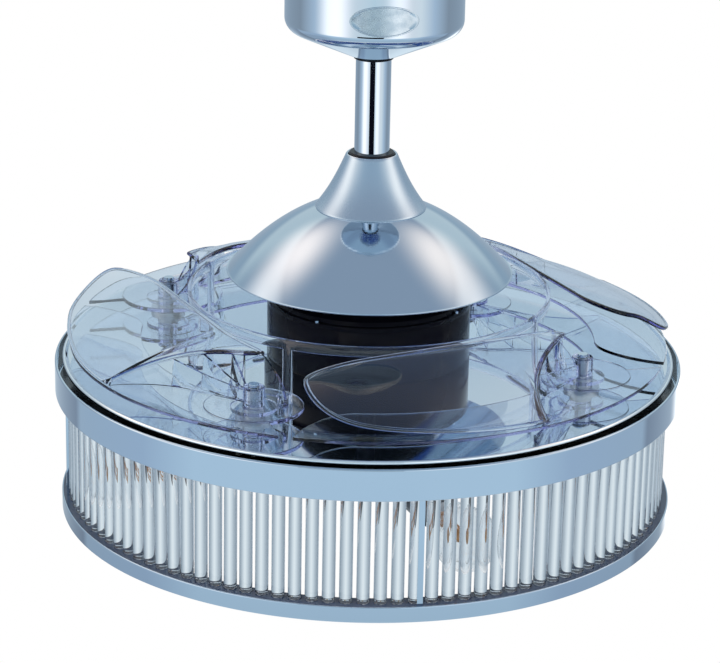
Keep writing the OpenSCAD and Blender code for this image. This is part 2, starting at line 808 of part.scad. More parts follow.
// a thick sheet from a grid of points: rows of (cols + 1) points, thickened by the vector d
module thick_sheet(grid, cols, d) {
    row = cols + 1;
    rows = len(grid) / row - 1;
    m = len(grid);
    skin = [for (i = [0 : rows - 1]) for (j = [0 : cols - 1]) let (a = i * row + j)
        each [[a, a + row + 1, a + row], [a, a + 1, a + row + 1]]];
    back = [for (f = skin) [f[0] + m, f[2] + m, f[1] + m]];
    rim = concat([for (j = [0 : cols]) j], [for (i = [1 : rows]) i * row + cols],
        [for (j = [cols - 1 : -1 : 0]) rows * row + j], [for (i = [rows - 1 : -1 : 1]) i * row]);
    n = len(rim);
    sides = [for (i = [0 : n - 1]) let (a = rim[i], b = rim[(i + 1) % n])
        each [[a, a + m, b + m], [a, b + m, b]]];
    polyhedron(points = concat(grid, [for (p = grid) p + d]), faces = concat(skin, back, sides),
        convexity = 6);
}

module blade_wing() {
    thick_sheet([for (i = [0 : crest_n + wing_n]) for (j = [0 : chord_n]) sheet_pt(i, j)],
        chord_n, [0, 0, -sheet_t]);
}

// the wall that falls from the crest to the foot flange, leaning out as it falls
module crest_wall() {
    lean = 9;
    rows = 2;
    reach = 0.98;
    foot_z = flange_z - sheet_t / 2;
    thick_sheet([for (i = [0 : crest_n]) let (p = crest_pt(reach * i / crest_n) - [bite, 0, sheet_t / 3],
            drop = p[2] - foot_z, out = lean * drop / (blade_crest_z - foot_z))
        for (j = [0 : rows]) let (t = j / rows) p + [out * t * t, -2 * t, -drop * t]],
        rows, [-sheet_t * wall_share, 0, 0]);
}

module flange_outline() {
    n = 24;
    end_n = 8;
    back = -hub_back_a;
    outer = [for (i = [0 : n]) [blade_rim_r, back + (flange_end_a - back) * i / n]];
    end = [for (i = [1 : end_n]) let (b = 90 * i / end_n)
        [blade_rim_r - (blade_rim_r - flange_in_r) * sin(b), flange_end_a - flange_round_a * (1 - cos(b))]];
    inner = [for (i = [1 : n]) [flange_in_r, (flange_end_a - flange_round_a) * (1 - i / n)]];
    polygon([for (p = concat(outer, end, inner)) [p[0] * cos(p[1]), -p[0] * sin(p[1])]]);
    translate([pivot_r, 0]) circle(r = hub_disc_r);
}

// upright skirt round the pivot's inner side, its top edge falling from the apex to the flange
module hub_skirt() {
    skirt_h = edge_in_z(apex_a) - flange_z - bite;
    span = 2 * hub_disc_r;
    translate([0, 0, flange_z - bite]) difference() {
        ring(skirt_r, skirt_r - sheet_t * wall_share, skirt_h);
        translate([0, -span, -past]) cube([span, 2 * span, span]);
        translate([-span, -span - skirt_r * 0.72, -past]) cube([span, span, span]);
        translate([0, skirt_r, bite]) rotate([-skirt_slope, 0, 0]) translate([-span, -2 * span, 0])
            cube([2 * span, 4 * span, span]);
    }
}

// thin upright ribs from the hub post to the crest wall
module hub_ribs() {
    start = post_r - past;
    for (s = [0.1, 0.34, 0.58]) {
        q = crest_pt(s) - [pivot_r, 0, 0];
        reach = norm([q[0], q[1]]);
        rise = q[2] - flange_z;
        rotate([0, 0, atan2(q[1], q[0])]) rotate([90, 0, 0]) translate([0, flange_z, -rib_t / 2])
            linear_extrude(rib_t) polygon([[start, -bite], [reach + past, -bite],
                [reach - past, rise - sheet_t], [reach * 0.6, rise * 0.62],
                [start, post_top_z - 6 - flange_z]]);
    }
}

module blade(k) {
    color("lavender", 0.55) at_pivot(k) difference() {
        union() {
            translate([-pivot_r, 0, flange_z - sheet_t]) linear_extrude(sheet_t) flange_outline();
            translate([0, 0, hub_z]) cylinder(r = boss_r, h = flange_z - hub_z);
            translate([0, 0, hub_z]) cylinder(r = post_r, h = post_top_z - hub_z);
            translate([-pivot_r, 0, 0]) blade_wing();
            translate([-pivot_r, 0, 0]) crest_wall();
            hub_skirt();
            hub_ribs();
        }
        cylinder(r = pin_r, h = post_top_z - post_cap);
        cylinder(r = hub_screw_r, h = post_top_z + past, $fn = pin_fn);
    }
}

// ---- collar: a clear ring on four legs, between the motor and the blades ----

module collar_places() {
    around(blade_count, first_pivot_az + collar_leg_az) children();
}

module collar_ring() {
    r_out = collar_r + collar_t / 2;
    r_in = collar_r - collar_t / 2;
    color("lavender", 0.5) at_deck() {
        ring(r_out, r_in, collar_lip_h, collar_top_z - collar_lip_h);
        intersection() {
            ring(r_out, r_in, collar_top_z - tray_top_z - 1, tray_top_z);
            leg_wedges();
        }
        intersection() {
            ring(collar_r + leg_foot_len, r_in, leg_foot_h, tray_top_z);
            leg_wedges();
        }
    }
}

module leg_wedges() {
    collar_places() translate([collar_r - 2 * collar_t, -leg_w / 2, 0])
        cube([2 * leg_foot_len, leg_w, collar_top_z]);
}

module collar_screws() {
    color("silver") at_deck() collar_places()
        translate([collar_r + 6, 0, tray_top_z + leg_foot_h]) cylinder(r = 3, h = 1.8, $fn = pin_fn);
}

ceiling_bracket();
canopy();
canopy_screws();
receiver_box();
downrod();
hanger_ball();
ball_pin();
canopy_seal();
rod_yoke();
yoke_pin();
cone_cover();
cone_ring();
dome();
motor_shaft();
shaft_nuts();
stator_core();
stator_windings();
light_pan();
upper_band();
lower_ring();
glass_rods();
struts();
strut_screws();
lamp_hub();
lamp_holders();
lamp_caps();
lamp_globes();
lamp_filaments();
motor_housing();
motor_cover();
cover_screws();
magnet_ring();
motor_bearings();
tray();
tray_screws();
pivot_bushes();
spring_barrels();
gear_carrier();
collar_ring();
collar_screws();
link_ring();
blade(1);  // blade_1
blade(2);  // blade_2
blade(3);  // blade_3
blade(4);  // blade_4
pivot_shaft(1);  // pivot_shaft_1
pivot_shaft(2);  // pivot_shaft_2
pivot_shaft(3);  // pivot_shaft_3
pivot_shaft(4);  // pivot_shaft_4
pinion(1);  // pinion_1
pinion(2);  // pinion_2
pinion(3);  // pinion_3
pinion(4);  // pinion_4
hub_screws(1);  // hub_screws_1
hub_screws(2);  // hub_screws_2
hub_screws(3);  // hub_screws_3
hub_screws(4);  // hub_screws_4
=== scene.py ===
import bpy
from math import cos, sin, pi, radians, sqrt, tan, hypot
from mathutils import Matrix, Vector


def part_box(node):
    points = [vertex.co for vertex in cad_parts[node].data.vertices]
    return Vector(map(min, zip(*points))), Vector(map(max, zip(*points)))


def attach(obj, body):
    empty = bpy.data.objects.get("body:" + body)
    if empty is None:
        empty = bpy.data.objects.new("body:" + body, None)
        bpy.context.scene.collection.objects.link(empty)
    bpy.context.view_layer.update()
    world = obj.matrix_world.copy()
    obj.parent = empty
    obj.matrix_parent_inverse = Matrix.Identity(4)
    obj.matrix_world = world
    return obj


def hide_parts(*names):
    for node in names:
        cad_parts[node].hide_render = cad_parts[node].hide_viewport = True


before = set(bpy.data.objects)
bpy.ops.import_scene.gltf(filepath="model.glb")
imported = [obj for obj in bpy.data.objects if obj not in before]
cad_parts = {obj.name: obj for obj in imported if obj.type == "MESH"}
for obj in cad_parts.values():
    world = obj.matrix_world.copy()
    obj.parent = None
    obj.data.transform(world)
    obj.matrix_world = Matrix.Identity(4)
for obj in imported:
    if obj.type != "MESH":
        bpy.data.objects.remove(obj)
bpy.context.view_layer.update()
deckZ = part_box("upper_band")[1].z    # top edge of the upper band, the deck
print("frame loaded")


# ---- working habits ----

def pick(obj):
    # one object selected and active, everything else deselected
    bpy.ops.object.select_all(action="DESELECT")
    obj.select_set(True)
    bpy.context.view_layer.objects.active = obj
    return obj


def editMode(on=True):
    bpy.ops.object.mode_set(mode="EDIT" if on else "OBJECT")


def editAll():
    # edit mode with the whole mesh selected
    editMode()
    bpy.ops.mesh.select_all(action="SELECT")


def pulled(shift):
    # what is selected is extruded by this much
    bpy.ops.mesh.extrude_region_move(TRANSFORM_OT_translate={"value": shift})


def named(obj, name):
    obj.name = obj.data.name = name
    return obj


def linked(name, data):
    obj = bpy.data.objects.new(name, data)
    bpy.context.scene.collection.objects.link(obj)
    return obj


def tagFaces(obj, test):
    # selects the faces whose centre and normal pass the test, and nothing else
    for part in (obj.data.vertices, obj.data.edges, obj.data.polygons):
        part.foreach_set("select", [False] * len(part))
    for face in obj.data.polygons:
        face.select = test(face.center, face.normal)


def painted(obj, material, test):
    # a second material on the faces that pass the test
    obj.data.materials.append(material)
    tagFaces(obj, test)
    pick(obj)
    editMode()
    obj.active_material_index = len(obj.data.materials) - 1
    bpy.ops.object.material_slot_assign()
    editMode(False)
    return obj


def placed(obj):
    pick(obj)
    bpy.ops.object.transform_apply(location=True, rotation=True, scale=True)
    return obj


def tidyMesh(obj, recalc=True):
    pick(obj)
    editAll()
    bpy.ops.mesh.remove_doubles(threshold=0.00001)
    if recalc:
        bpy.ops.mesh.normals_make_consistent(inside=False)
    editMode(False)
    return obj


def flipped(obj):
    pick(obj)
    editAll()
    bpy.ops.mesh.flip_normals()
    editMode(False)
    return obj


def thicken(obj, wall, offset=-1):
    pick(obj)
    solid = obj.modifiers.new("wall", "SOLIDIFY")
    solid.thickness, solid.offset, solid.use_even_offset = wall, offset, True
    bpy.ops.object.modifier_apply(modifier=solid.name)
    return obj


def soften(obj, width, steps=2, angle=38):
    pick(obj)
    edge = obj.modifiers.new("edge", "BEVEL")
    edge.width, edge.segments, edge.limit_method = width, steps, "ANGLE"
    edge.angle_limit, edge.use_clamp_overlap = radians(angle), True
    bpy.ops.object.modifier_apply(modifier=edge.name)
    return obj


def shade(obj, angle=35):
    pick(obj)
    bpy.ops.object.shade_smooth_by_angle(angle=radians(angle))
    return obj


def evened(obj):
    # broad flat faces keep their own direction next to curved ones
    pick(obj)
    even = obj.modifiers.new("even", "WEIGHTED_NORMAL")
    even.mode, even.weight, even.keep_sharp = "FACE_AREA", 60, True
    bpy.ops.object.modifier_apply(modifier=even.name)
    return obj


def dressed(obj, body, slot, material, *nodes):
    obj.data.materials.clear()
    obj.data.materials.append(material)
    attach(obj, body)
    if nodes:
        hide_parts(*nodes)
    return obj


def braced(path, gap=0.0004):
    # points close to both ends of each long straight run keep smooth shading off the flat parts
    kept = [path[0]]
    for (x0, z0), (x1, z1) in zip(path, path[1:]):
        run = hypot(x1 - x0, z1 - z0)
        if run > 5 * gap:
            kept += [(x0 + (x1 - x0) * share, z0 + (z1 - z0) * share) for share in (gap / run, 1 - gap / run)]
        kept.append((x1, z1))
    return kept


def turned(name, outline, steps=144, closed=False, facing=(1, 0)):
    # a half section in the XZ plane, drawn point by point from one vertex, then spun about the axis;
    # an open sheet is turned to face outwards or up, by the shares in facing
    bpy.ops.object.select_all(action="DESELECT")
    bpy.ops.mesh.primitive_plane_add(size=0.002, location=(outline[0][0], 0, outline[0][1]))
    obj = placed(named(bpy.context.object, name))
    editAll()
    bpy.ops.mesh.merge(type="CENTER")
    path = braced(outline + [outline[0]] if closed else outline)
    for a, b in zip(path, path[1:]):
        pulled((b[0] - a[0], 0, b[1] - a[1]))
    bpy.ops.mesh.select_all(action="SELECT")
    bpy.ops.mesh.spin(steps=steps, angle=2 * pi, center=(0, 0, 0), axis=(0, 0, 1))
    editMode(False)
    tidyMesh(obj)
    outward = 0
    for face in obj.data.polygons:
        radial = Vector((face.center.x, face.center.y, 0)).normalized()
        outward += face.area * (face.normal.dot(radial) * facing[0] + face.normal.z * facing[1])
    return obj if closed or outward >= 0 else flipped(obj)


def arc(cx, cz, r, a0, a1, n):
    # points of an arc in a half section, angles in degrees from +X towards +Z
    turns = [radians(a0 + (a1 - a0) * i / n) for i in range(n + 1)]
    return [(cx + r * cos(a), cz + r * sin(a)) for a in turns]


def cleanCopy(node, name):
    # a merged copy of a CAD node's shape, free of the frame, with its flat faces joined again
    obj = tidyMesh(linked(name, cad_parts[node].data.copy()), recalc=False)
    editAll()
    bpy.ops.mesh.customdata_custom_splitnormals_clear()
    bpy.ops.mesh.dissolve_limited(angle_limit=radians(0.6))
    editMode(False)
    return obj


def copied(obj, name, matrix):
    made = linked(name, obj.data.copy())
    made.data.transform(matrix)
    return made


def joined(name, parts):
    pick(parts[0])
    for part in parts:
        part.select_set(True)
    bpy.ops.object.join()
    return named(parts[0], name)


# ---- shared effects ----

def wired(tree, *pairs):
    for source, target in pairs:
        tree.links.new(source, target)


def setSpan(node, fromMin, fromMax, toMin=0, toMax=1):
    node.inputs["From Min"].default_value, node.inputs["From Max"].default_value = fromMin, fromMax
    node.inputs["To Min"].default_value, node.inputs["To Max"].default_value = toMin, toMax


def newGroup(name, inputs, outputs):
    # a node group that takes coordinates and plain numbers and puts out numbers
    group = bpy.data.node_groups.new(name, "ShaderNodeTree")
    sockets = group.interface
    sockets.new_socket(name="Coordinates", in_out="INPUT", socket_type="NodeSocketVector")
    for label, value in inputs.items():
        sockets.new_socket(name=label, in_out="INPUT", socket_type="NodeSocketFloat").default_value = value
    for label in outputs:
        sockets.new_socket(name=label, in_out="OUTPUT", socket_type="NodeSocketFloat")
    return group, group.nodes.new("NodeGroupInput"), group.nodes.new("NodeGroupOutput")


def grainGroup():
    # broad handling marks and fine grain: a roughness between two values and a bump height
    sizes = {"Broad Size": 20.0, "Fine Size": 900.0, "Smoothest": 0.1, "Roughest": 0.2}
    group, into, out = newGroup("surfaceGrain", sizes, ("Roughness", "Height", "Patches"))
    nodes = group.nodes
    broad, fine = nodes.new("ShaderNodeTexNoise"), nodes.new("ShaderNodeTexNoise")
    span, blend = nodes.new("ShaderNodeMapRange"), nodes.new("ShaderNodeMath")
    broad.inputs["Detail"].default_value, fine.inputs["Detail"].default_value = 4, 2
    blend.operation = "MULTIPLY_ADD"
    blend.inputs[1].default_value = 0.35    # how much the fine grain adds to the broad marks
    setSpan(span, 0.5, 0.9)
    wired(group, (into.outputs["Coordinates"], broad.inputs["Vector"]),
          (into.outputs["Coordinates"], fine.inputs["Vector"]),
          (into.outputs["Broad Size"], broad.inputs["Scale"]), (into.outputs["Fine Size"], fine.inputs["Scale"]),
          (fine.outputs["Fac"], blend.inputs[0]), (broad.outputs["Fac"], blend.inputs[2]),
          (blend.outputs[0], span.inputs["Value"]), (into.outputs["Smoothest"], span.inputs["To Min"]),
          (into.outputs["Roughest"], span.inputs["To Max"]), (span.outputs["Result"], out.inputs["Roughness"]),
          (blend.outputs[0], out.inputs["Height"]), (broad.outputs["Fac"], out.inputs["Patches"]))
    return group


def turningGroup():
    # fine rings round the vertical axis, as a lathe or a polishing wheel leaves them
    group, into, out = newGroup("turningMarks", {"Pitch": 600.0}, ("Height",))
    nodes = group.nodes
    split, flat = nodes.new("ShaderNodeSeparateXYZ"), nodes.new("ShaderNodeCombineXYZ")
    length, place = nodes.new("ShaderNodeVectorMath"), nodes.new("ShaderNodeCombineXYZ")
    ringNoise = nodes.new("ShaderNodeTexNoise")
    length.operation, ringNoise.noise_dimensions = "LENGTH", "2D"
    wired(group, (into.outputs["Coordinates"], split.inputs[0]), (split.outputs["X"], flat.inputs["X"]),
          (split.outputs["Y"], flat.inputs["Y"]), (flat.outputs[0], length.inputs[0]),
          (length.outputs["Value"], place.inputs["X"]), (split.outputs["Z"], place.inputs["Y"]),
          (place.outputs[0], ringNoise.inputs["Vector"]), (into.outputs["Pitch"], ringNoise.inputs["Scale"]),
          (ringNoise.outputs["Fac"], out.inputs["Height"]))
    return group


def dustGroup():
    # a mask for the light dust that settles on faces that look up
    group, into, out = newGroup("settledDust", {"Amount": 0.1}, ("Mask",))
    nodes = group.nodes
    geometry, split = nodes.new("ShaderNodeNewGeometry"), nodes.new("ShaderNodeSeparateXYZ")
    specks, span = nodes.new("ShaderNodeTexNoise"), nodes.new("ShaderNodeMapRange")
    lying, scale = nodes.new("ShaderNodeMath"), nodes.new("ShaderNodeMath")
    specks.inputs["Scale"].default_value, specks.inputs["Detail"].default_value = 60, 8
    setSpan(span, 0.45, 0.8)
    lying.operation = scale.operation = "MULTIPLY"
    lying.use_clamp = True
    wired(group, (into.outputs["Coordinates"], specks.inputs["Vector"]), (specks.outputs["Fac"], span.inputs["Value"]),
          (geometry.outputs["Normal"], split.inputs[0]), (split.outputs["Z"], lying.inputs[0]),
          (span.outputs["Result"], lying.inputs[1]), (lying.outputs[0], scale.inputs[0]),
          (into.outputs["Amount"], scale.inputs[1]), (scale.outputs[0], out.inputs["Mask"]))
    return group


grain, turning, dust = grainGroup(), turningGroup(), dustGroup()
dustColour, upperSlope = (0.62, 0.62, 0.6, 1), 0.7    # a face looks up if its normal's Z is over upperSlope


def finish(name, look):
    # a material from one dictionary: two close tones, metal or glass, coat, grain sizes, roughness span and bump,
    # and where named, dust, painted shade on upper faces, turning marks and a colour that deepens with thickness
    mat = bpy.data.materials.new(name)
    mat.use_nodes = True
    tree, nodes = mat.node_tree, mat.node_tree.nodes
    shader = nodes["Principled BSDF"]
    shader.inputs["Metallic"].default_value = look.get("metal", 0.0)
    shader.inputs["IOR"].default_value = look.get("ior", 1.5)
    shader.inputs["Transmission Weight"].default_value = look.get("clear", 0.0)
    shader.inputs["Coat Weight"].default_value = look.get("coat", 0.0)
    shader.inputs["Coat Roughness"].default_value = 0.03
    place, marks, tone = (nodes.new(kind) for kind in ("ShaderNodeTexCoord", "ShaderNodeGroup", "ShaderNodeMix"))
    marks.node_tree = grain
    marks.inputs["Broad Size"].default_value = look.get("broad", 14)
    marks.inputs["Fine Size"].default_value = look.get("fine", 900)
    marks.inputs["Smoothest"].default_value, marks.inputs["Roughest"].default_value = look["rough"]
    tone.data_type = "RGBA"
    tone.inputs["A"].default_value = (*look["colour"], 1)
    tone.inputs["B"].default_value = (*look.get("second", [c * 0.94 for c in look["colour"]]), 1)
    wired(tree, (place.outputs["Object"], marks.inputs["Coordinates"]),
          (marks.outputs["Roughness"], shader.inputs["Roughness"]), (marks.outputs["Patches"], tone.inputs["Factor"]))
    colourOut = tone.outputs["Result"]
    if look.get("dust"):
        film, powder = nodes.new("ShaderNodeGroup"), nodes.new("ShaderNodeMix")
        film.node_tree = dust
        film.inputs["Amount"].default_value = look["dust"]
        powder.data_type, powder.inputs["B"].default_value = "RGBA", dustColour
        wired(tree, (place.outputs["Object"], film.inputs["Coordinates"]),
              (film.outputs["Mask"], powder.inputs["Factor"]), (colourOut, powder.inputs["A"]))
        colourOut = powder.outputs["Result"]
    # painted shade: faces that look up take the dark colour given as upper
    if look.get("upper"):
        facing, parts = nodes.new("ShaderNodeNewGeometry"), nodes.new("ShaderNodeSeparateXYZ")
        test, upperShade = nodes.new("ShaderNodeMath"), nodes.new("ShaderNodeMix")
        test.operation, test.inputs[1].default_value = "GREATER_THAN", upperSlope
        upperShade.data_type, upperShade.inputs["B"].default_value = "RGBA", (*look["upper"], 1)
        wired(tree, (facing.outputs["Normal"], parts.inputs[0]), (parts.outputs["Z"], test.inputs[0]),
              (test.outputs[0], upperShade.inputs["Factor"]), (colourOut, upperShade.inputs["A"]))
        colourOut = upperShade.outputs["Result"]
    bump = nodes.new("ShaderNodeBump")
    bump.inputs["Strength"].default_value = look.get("bump", 0.05)
    bump.inputs["Distance"].default_value = look.get("bumpDepth", 0.0002)
    height = marks.outputs["Height"]
    if look.get("turned"):
        rings = nodes.new("ShaderNodeGroup")
        rings.node_tree = turning
        rings.inputs["Pitch"].default_value = look["turned"]
        wired(tree, (place.outputs["Object"], rings.inputs["Coordinates"]))
        height = rings.outputs["Height"]
    wired(tree, (colourOut, shader.inputs["Base Color"]), (height, bump.inputs["Height"]),
          (bump.outputs["Normal"], shader.inputs["Normal"]))
    if look.get("absorb"):
        depth = nodes.new("ShaderNodeVolumeAbsorption")
        depth.inputs["Color"].default_value = (*look["absorb"][:3], 1)
        depth.inputs["Density"].default_value = look["absorb"][3]
        wired(tree, (depth.outputs[0], nodes["Material Output"].inputs["Volume"]))
    return mat


looks = {
    "zincSteel": {"colour": (0.56, 0.57, 0.6), "metal": 1, "rough": (0.22, 0.4), "turned": 700, "bump": 0.12},
    "mirrorChrome": {"colour": (0.60, 0.69, 0.78), "second": (0.57, 0.66, 0.76), "metal": 1,
                     "rough": (0.02, 0.05), "broad": 9, "bump": 0.012},
    "domeChrome": {"colour": (0.60, 0.69, 0.78), "second": (0.57, 0.66, 0.75), "metal": 1,
                   "rough": (0.05, 0.09), "broad": 9, "bump": 0.012},
    "satinChrome": {"colour": (0.60, 0.68, 0.76), "second": (0.56, 0.64, 0.73), "metal": 1,
                    "rough": (0.24, 0.31), "fine": 2200, "bump": 0.02},
    "badgeSatin": {"colour": (0.60, 0.69, 0.76), "second": (0.52, 0.62, 0.70), "metal": 1, "rough": (0.2, 0.36),
                   "broad": 160, "fine": 1300, "bump": 0.16, "bumpDepth": 0.0004},
    "trayMirror": {"colour": (0.74, 0.80, 0.86), "second": (0.70, 0.77, 0.83), "metal": 1,
                   "rough": (0.012, 0.03), "bump": 0.006, "dust": 0.03},
    # painted highlight: a brighter copy of the tray's mirror metal, for its rolled rim
    "paintedRimHighlight": {"colour": (0.94, 0.96, 0.97), "second": (0.9, 0.93, 0.95), "metal": 1, "rough": (0.05, 0.09),
                   "bump": 0.01},
    "sealRubber": {"colour": (0.01, 0.01, 0.013), "rough": (0.28, 0.45), "fine": 2600, "bump": 0.1, "ior": 1.25},
    "holderPlastic": {"colour": (0.018, 0.018, 0.022), "rough": (0.2, 0.36), "fine": 3000, "bump": 0.1},
    "turnedBrass": {"colour": (0.72, 0.5, 0.2), "metal": 1, "rough": (0.18, 0.34), "turned": 800, "bump": 0.12},
    "oiledCore": {"colour": (0.16, 0.16, 0.18), "metal": 1, "rough": (0.35, 0.5), "turned": 1600, "bump": 0.3},
    "coilCopper": {"colour": (0.7, 0.3, 0.13), "metal": 1, "rough": (0.2, 0.34), "fine": 1800, "bump": 0.3},
    # painted shade: the near-black upper colour darkens the upward faces of the light pan and lamp hub, for the shade
    # in the gap under the tray
    "whiteEnamel": {"colour": (0.84, 0.85, 0.86), "second": (0.8, 0.81, 0.83), "rough": (0.2, 0.32),
                    "fine": 1500, "bump": 0.05, "coat": 0.3, "upper": (0.006, 0.006, 0.008)},
    "clearRodGlass": {"colour": (0.985, 0.992, 1.0), "second": (0.97, 0.98, 0.99), "clear": 1, "ior": 1.5,
                      "rough": (0.0, 0.012), "bump": 0.01, "absorb": (0.78, 0.86, 0.9, 4.0)},
    "lampGlass": {"colour": (0.99, 0.995, 1.0), "second": (0.98, 0.985, 0.99), "clear": 1, "ior": 1.5,
                  "rough": (0.0, 0.01), "bump": 0.01},
    "amberWire": {"colour": (0.85, 0.36, 0.08), "second": (0.7, 0.27, 0.05), "metal": 0.3,
                  "rough": (0.3, 0.45), "bump": 0.1},
    "motorGloss": {"colour": (0.004, 0.004, 0.008), "second": (0.006, 0.006, 0.011), "rough": (0.12, 0.2),
                   "fine": 1600, "bump": 0.03, "ior": 1.2},
    "bladePlastic": {"colour": (0.93, 0.965, 0.99), "second": (0.915, 0.955, 0.985), "clear": 1, "ior": 1.5,
                     "rough": (0.0, 0.012), "broad": 7, "bump": 0.01, "absorb": (0.44, 0.42, 0.84, 16.0)},
    # painted shade: a dark navy gloss for the lower ring's shelf, in place of the shade it would mirror from inside the
    # drum
    "paintedShadeNavy": {"colour": (0.025, 0.042, 0.09), "second": (0.03, 0.05, 0.1), "rough": (0.1, 0.18)},
    "gearNylon": {"colour": (0.8, 0.77, 0.68), "rough": (0.35, 0.5), "fine": 1400, "bump": 0.1},
}
mats = {name: finish(name, look) for name, look in looks.items()}


def fourOf(name):
    return [f"{name}_{k}" for k in (1, 2, 3, 4)]


nodeFinish = {
    "zincSteel": ["ceiling_bracket", "ball_pin", "rod_yoke", "yoke_pin", "motor_shaft", "tray_screws",
                  "spring_barrels", "motor_bearings", "canopy_screws", "gear_carrier", "pivot_bushes",
                  "lamp_caps"] + fourOf("pivot_shaft"),
    "mirrorChrome": ["canopy", "downrod", "upper_band", "lower_ring", "struts", "strut_screws", "cover_screws",
                     "collar_screws"] + fourOf("hub_screws"),
    "domeChrome": ["dome"],
    "satinChrome": ["cone_cover"],
    "trayMirror": ["tray"],
    "sealRubber": ["canopy_seal", "cone_ring"],
    "holderPlastic": ["receiver_box", "hanger_ball", "lamp_holders"],
    "turnedBrass": ["shaft_nuts"],
    "oiledCore": ["stator_core", "magnet_ring"],
    "coilCopper": ["stator_windings"],
    "whiteEnamel": ["light_pan", "lamp_hub"],
    "clearRodGlass": ["glass_rods"],
    "lampGlass": ["lamp_globes"],
    "amberWire": ["lamp_filaments"],
    "motorGloss": ["motor_housing", "motor_cover"],
    "bladePlastic": fourOf("blade") + ["collar_ring"],
    "gearNylon": ["link_ring"] + fourOf("pinion"),
}
for name, members in nodeFinish.items():
    for node in members:
        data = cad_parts[node].data
        data.materials.clear()
        data.materials.append(mats[name])
print("finishes made")


# ---- suspension: canopy, badge plate, rod seal, dome, cone skirt ----

canopySet = {"radius": 0.0794, "neck": 0.0186, "slope": 23.5, "corner": 0.013, "wall": 0.0014, "foot": -0.0805,
             "chamfer": 0.0006, "edge": 0.0003}


def makeCanopy(s):
    # a cup: sloping floor from the rod's hole, round corner, upright wall
    wallZ = s["foot"] + (s["radius"] - s["neck"]) * tan(radians(s["slope"])) \
        + s["corner"] * tan(radians((90 - s["slope"]) / 2))
    outline = [(s["neck"], s["foot"])]
    outline += arc(s["radius"] - s["corner"], wallZ, s["corner"], s["slope"] - 90, 0, 12)
    outline += [(s["radius"], -s["chamfer"]), (s["radius"] - s["chamfer"], 0)]
    obj = soften(thicken(turned("canopyShell", outline), s["wall"]), s["edge"], 2, 50)
    return dressed(shade(obj, 40), "mount", "chrome_shell", mats["mirrorChrome"], "canopy")


# rings from the rim inwards: size as a share of the outline, rise as a share of the lift
badgeSet = {"width": 0.0614, "height": 0.0268, "centreZ": -0.0318, "side": 0.009, "lift": 0.0009, "sink": 0.0002,
            "points": 96, "rings": [(1.0, 0.7), (0.985, 0.3), (0.93, 0), (0.9, -0.4), (0.78, 0), (0.64, 0),
                                    (0.5, 0), (0.36, 0), (0.22, 0), (0.1, 0)]}


def makeBadge(s, radius):
    # a thin oval plate bent round the canopy's wall, with a raised rim and a bare, stippled field
    bpy.ops.object.select_all(action="DESELECT")
    bpy.ops.mesh.primitive_circle_add(vertices=s["points"], radius=0.5, fill_type="NGON", location=(0, 0, 0))
    obj = named(bpy.context.object, "badgePlate")
    obj.scale = (s["width"], s["height"], 1)
    placed(obj)
    editAll()
    size = 1.0
    for share, rise in s["rings"]:    # each ring of faces is pulled up a little and drawn in towards the centre
        pulled((0, 0, rise * s["lift"]))
        bpy.ops.transform.resize(value=(share / size, share / size, 1), center_override=(0, 0, 0))
        size = share
    editMode(False)
    for v in obj.data.vertices:    # wrapped on the wall: width becomes angle
        a, r = (v.co.x + s["side"]) / radius, radius - s["sink"] + v.co.z
        v.co = Vector((r * sin(a), -r * cos(a), s["centreZ"] + v.co.y))
    tidyMesh(obj)
    return dressed(shade(obj, 30), "mount", "chrome_shell", mats["badgeSatin"])


sealSet = {"bore": 0.0159, "lip": 0.0177, "top": -0.0813, "height": 0.0011}


def makeSeal(s):
    # a thin rubber washer with a rounded lip, right under the canopy's mouth
    half = s["height"] / 2
    outline = [(s["bore"], s["top"] - s["height"]), (s["bore"], s["top"])]
    outline += arc(s["lip"] - half, s["top"] - half, half, 90, -90, 8)
    obj = turned("rodSeal", outline, 96, closed=True)
    return dressed(shade(obj, 50), "hanging", "black_rubber", mats["sealRubber"], "canopy_seal")


domeSet = {"rim": 0.1294, "rimZ": 0.0804, "rise": 0.0696, "power": 2.1, "wall": 0.0015, "seat": 0.038,
           "seatDepth": 0.0057, "flange": 0.030, "bore": 0.0085, "bead": 0.0011, "beadLift": 0.9,
           "rimGap": 0.0012, "spread": 0.85, "points": 44}


def domeHeight(r):
    return deckZ + domeSet["rimZ"] + domeSet["rise"] * (1 - (r / domeSet["rim"]) ** domeSet["power"])


def makeDome(s):
    # a flat seat under the cone, the crown and a rolled rim
    seatZ = domeHeight(s["seat"]) - s["seatDepth"]
    n = s["points"]
    crown = [s["seat"] + (s["rim"] - s["rimGap"] - s["seat"]) * (i / n) ** s["spread"] for i in range(n + 1)]
    outline = [(s["bore"], seatZ), (s["flange"], seatZ)] + [(r, domeHeight(r)) for r in crown]
    outline += arc(s["rim"] - s["bead"], domeHeight(s["rim"]) + s["bead"] * s["beadLift"], s["bead"], 40, -150, 8)
    obj = thicken(turned("domeShell", outline, 192, facing=(0, 1)), s["wall"])
    return dressed(shade(obj, 50), "hanging", "chrome_shell", mats["domeChrome"], "dome")


coneSet = {"foot": 0.0503, "top": 0.0226, "height": 0.0500, "flare": 0.22, "wall": 0.002, "points": 32,
           "lipIn": 0.0003, "lipDrop": 0.0002, "edge": 0.0004}


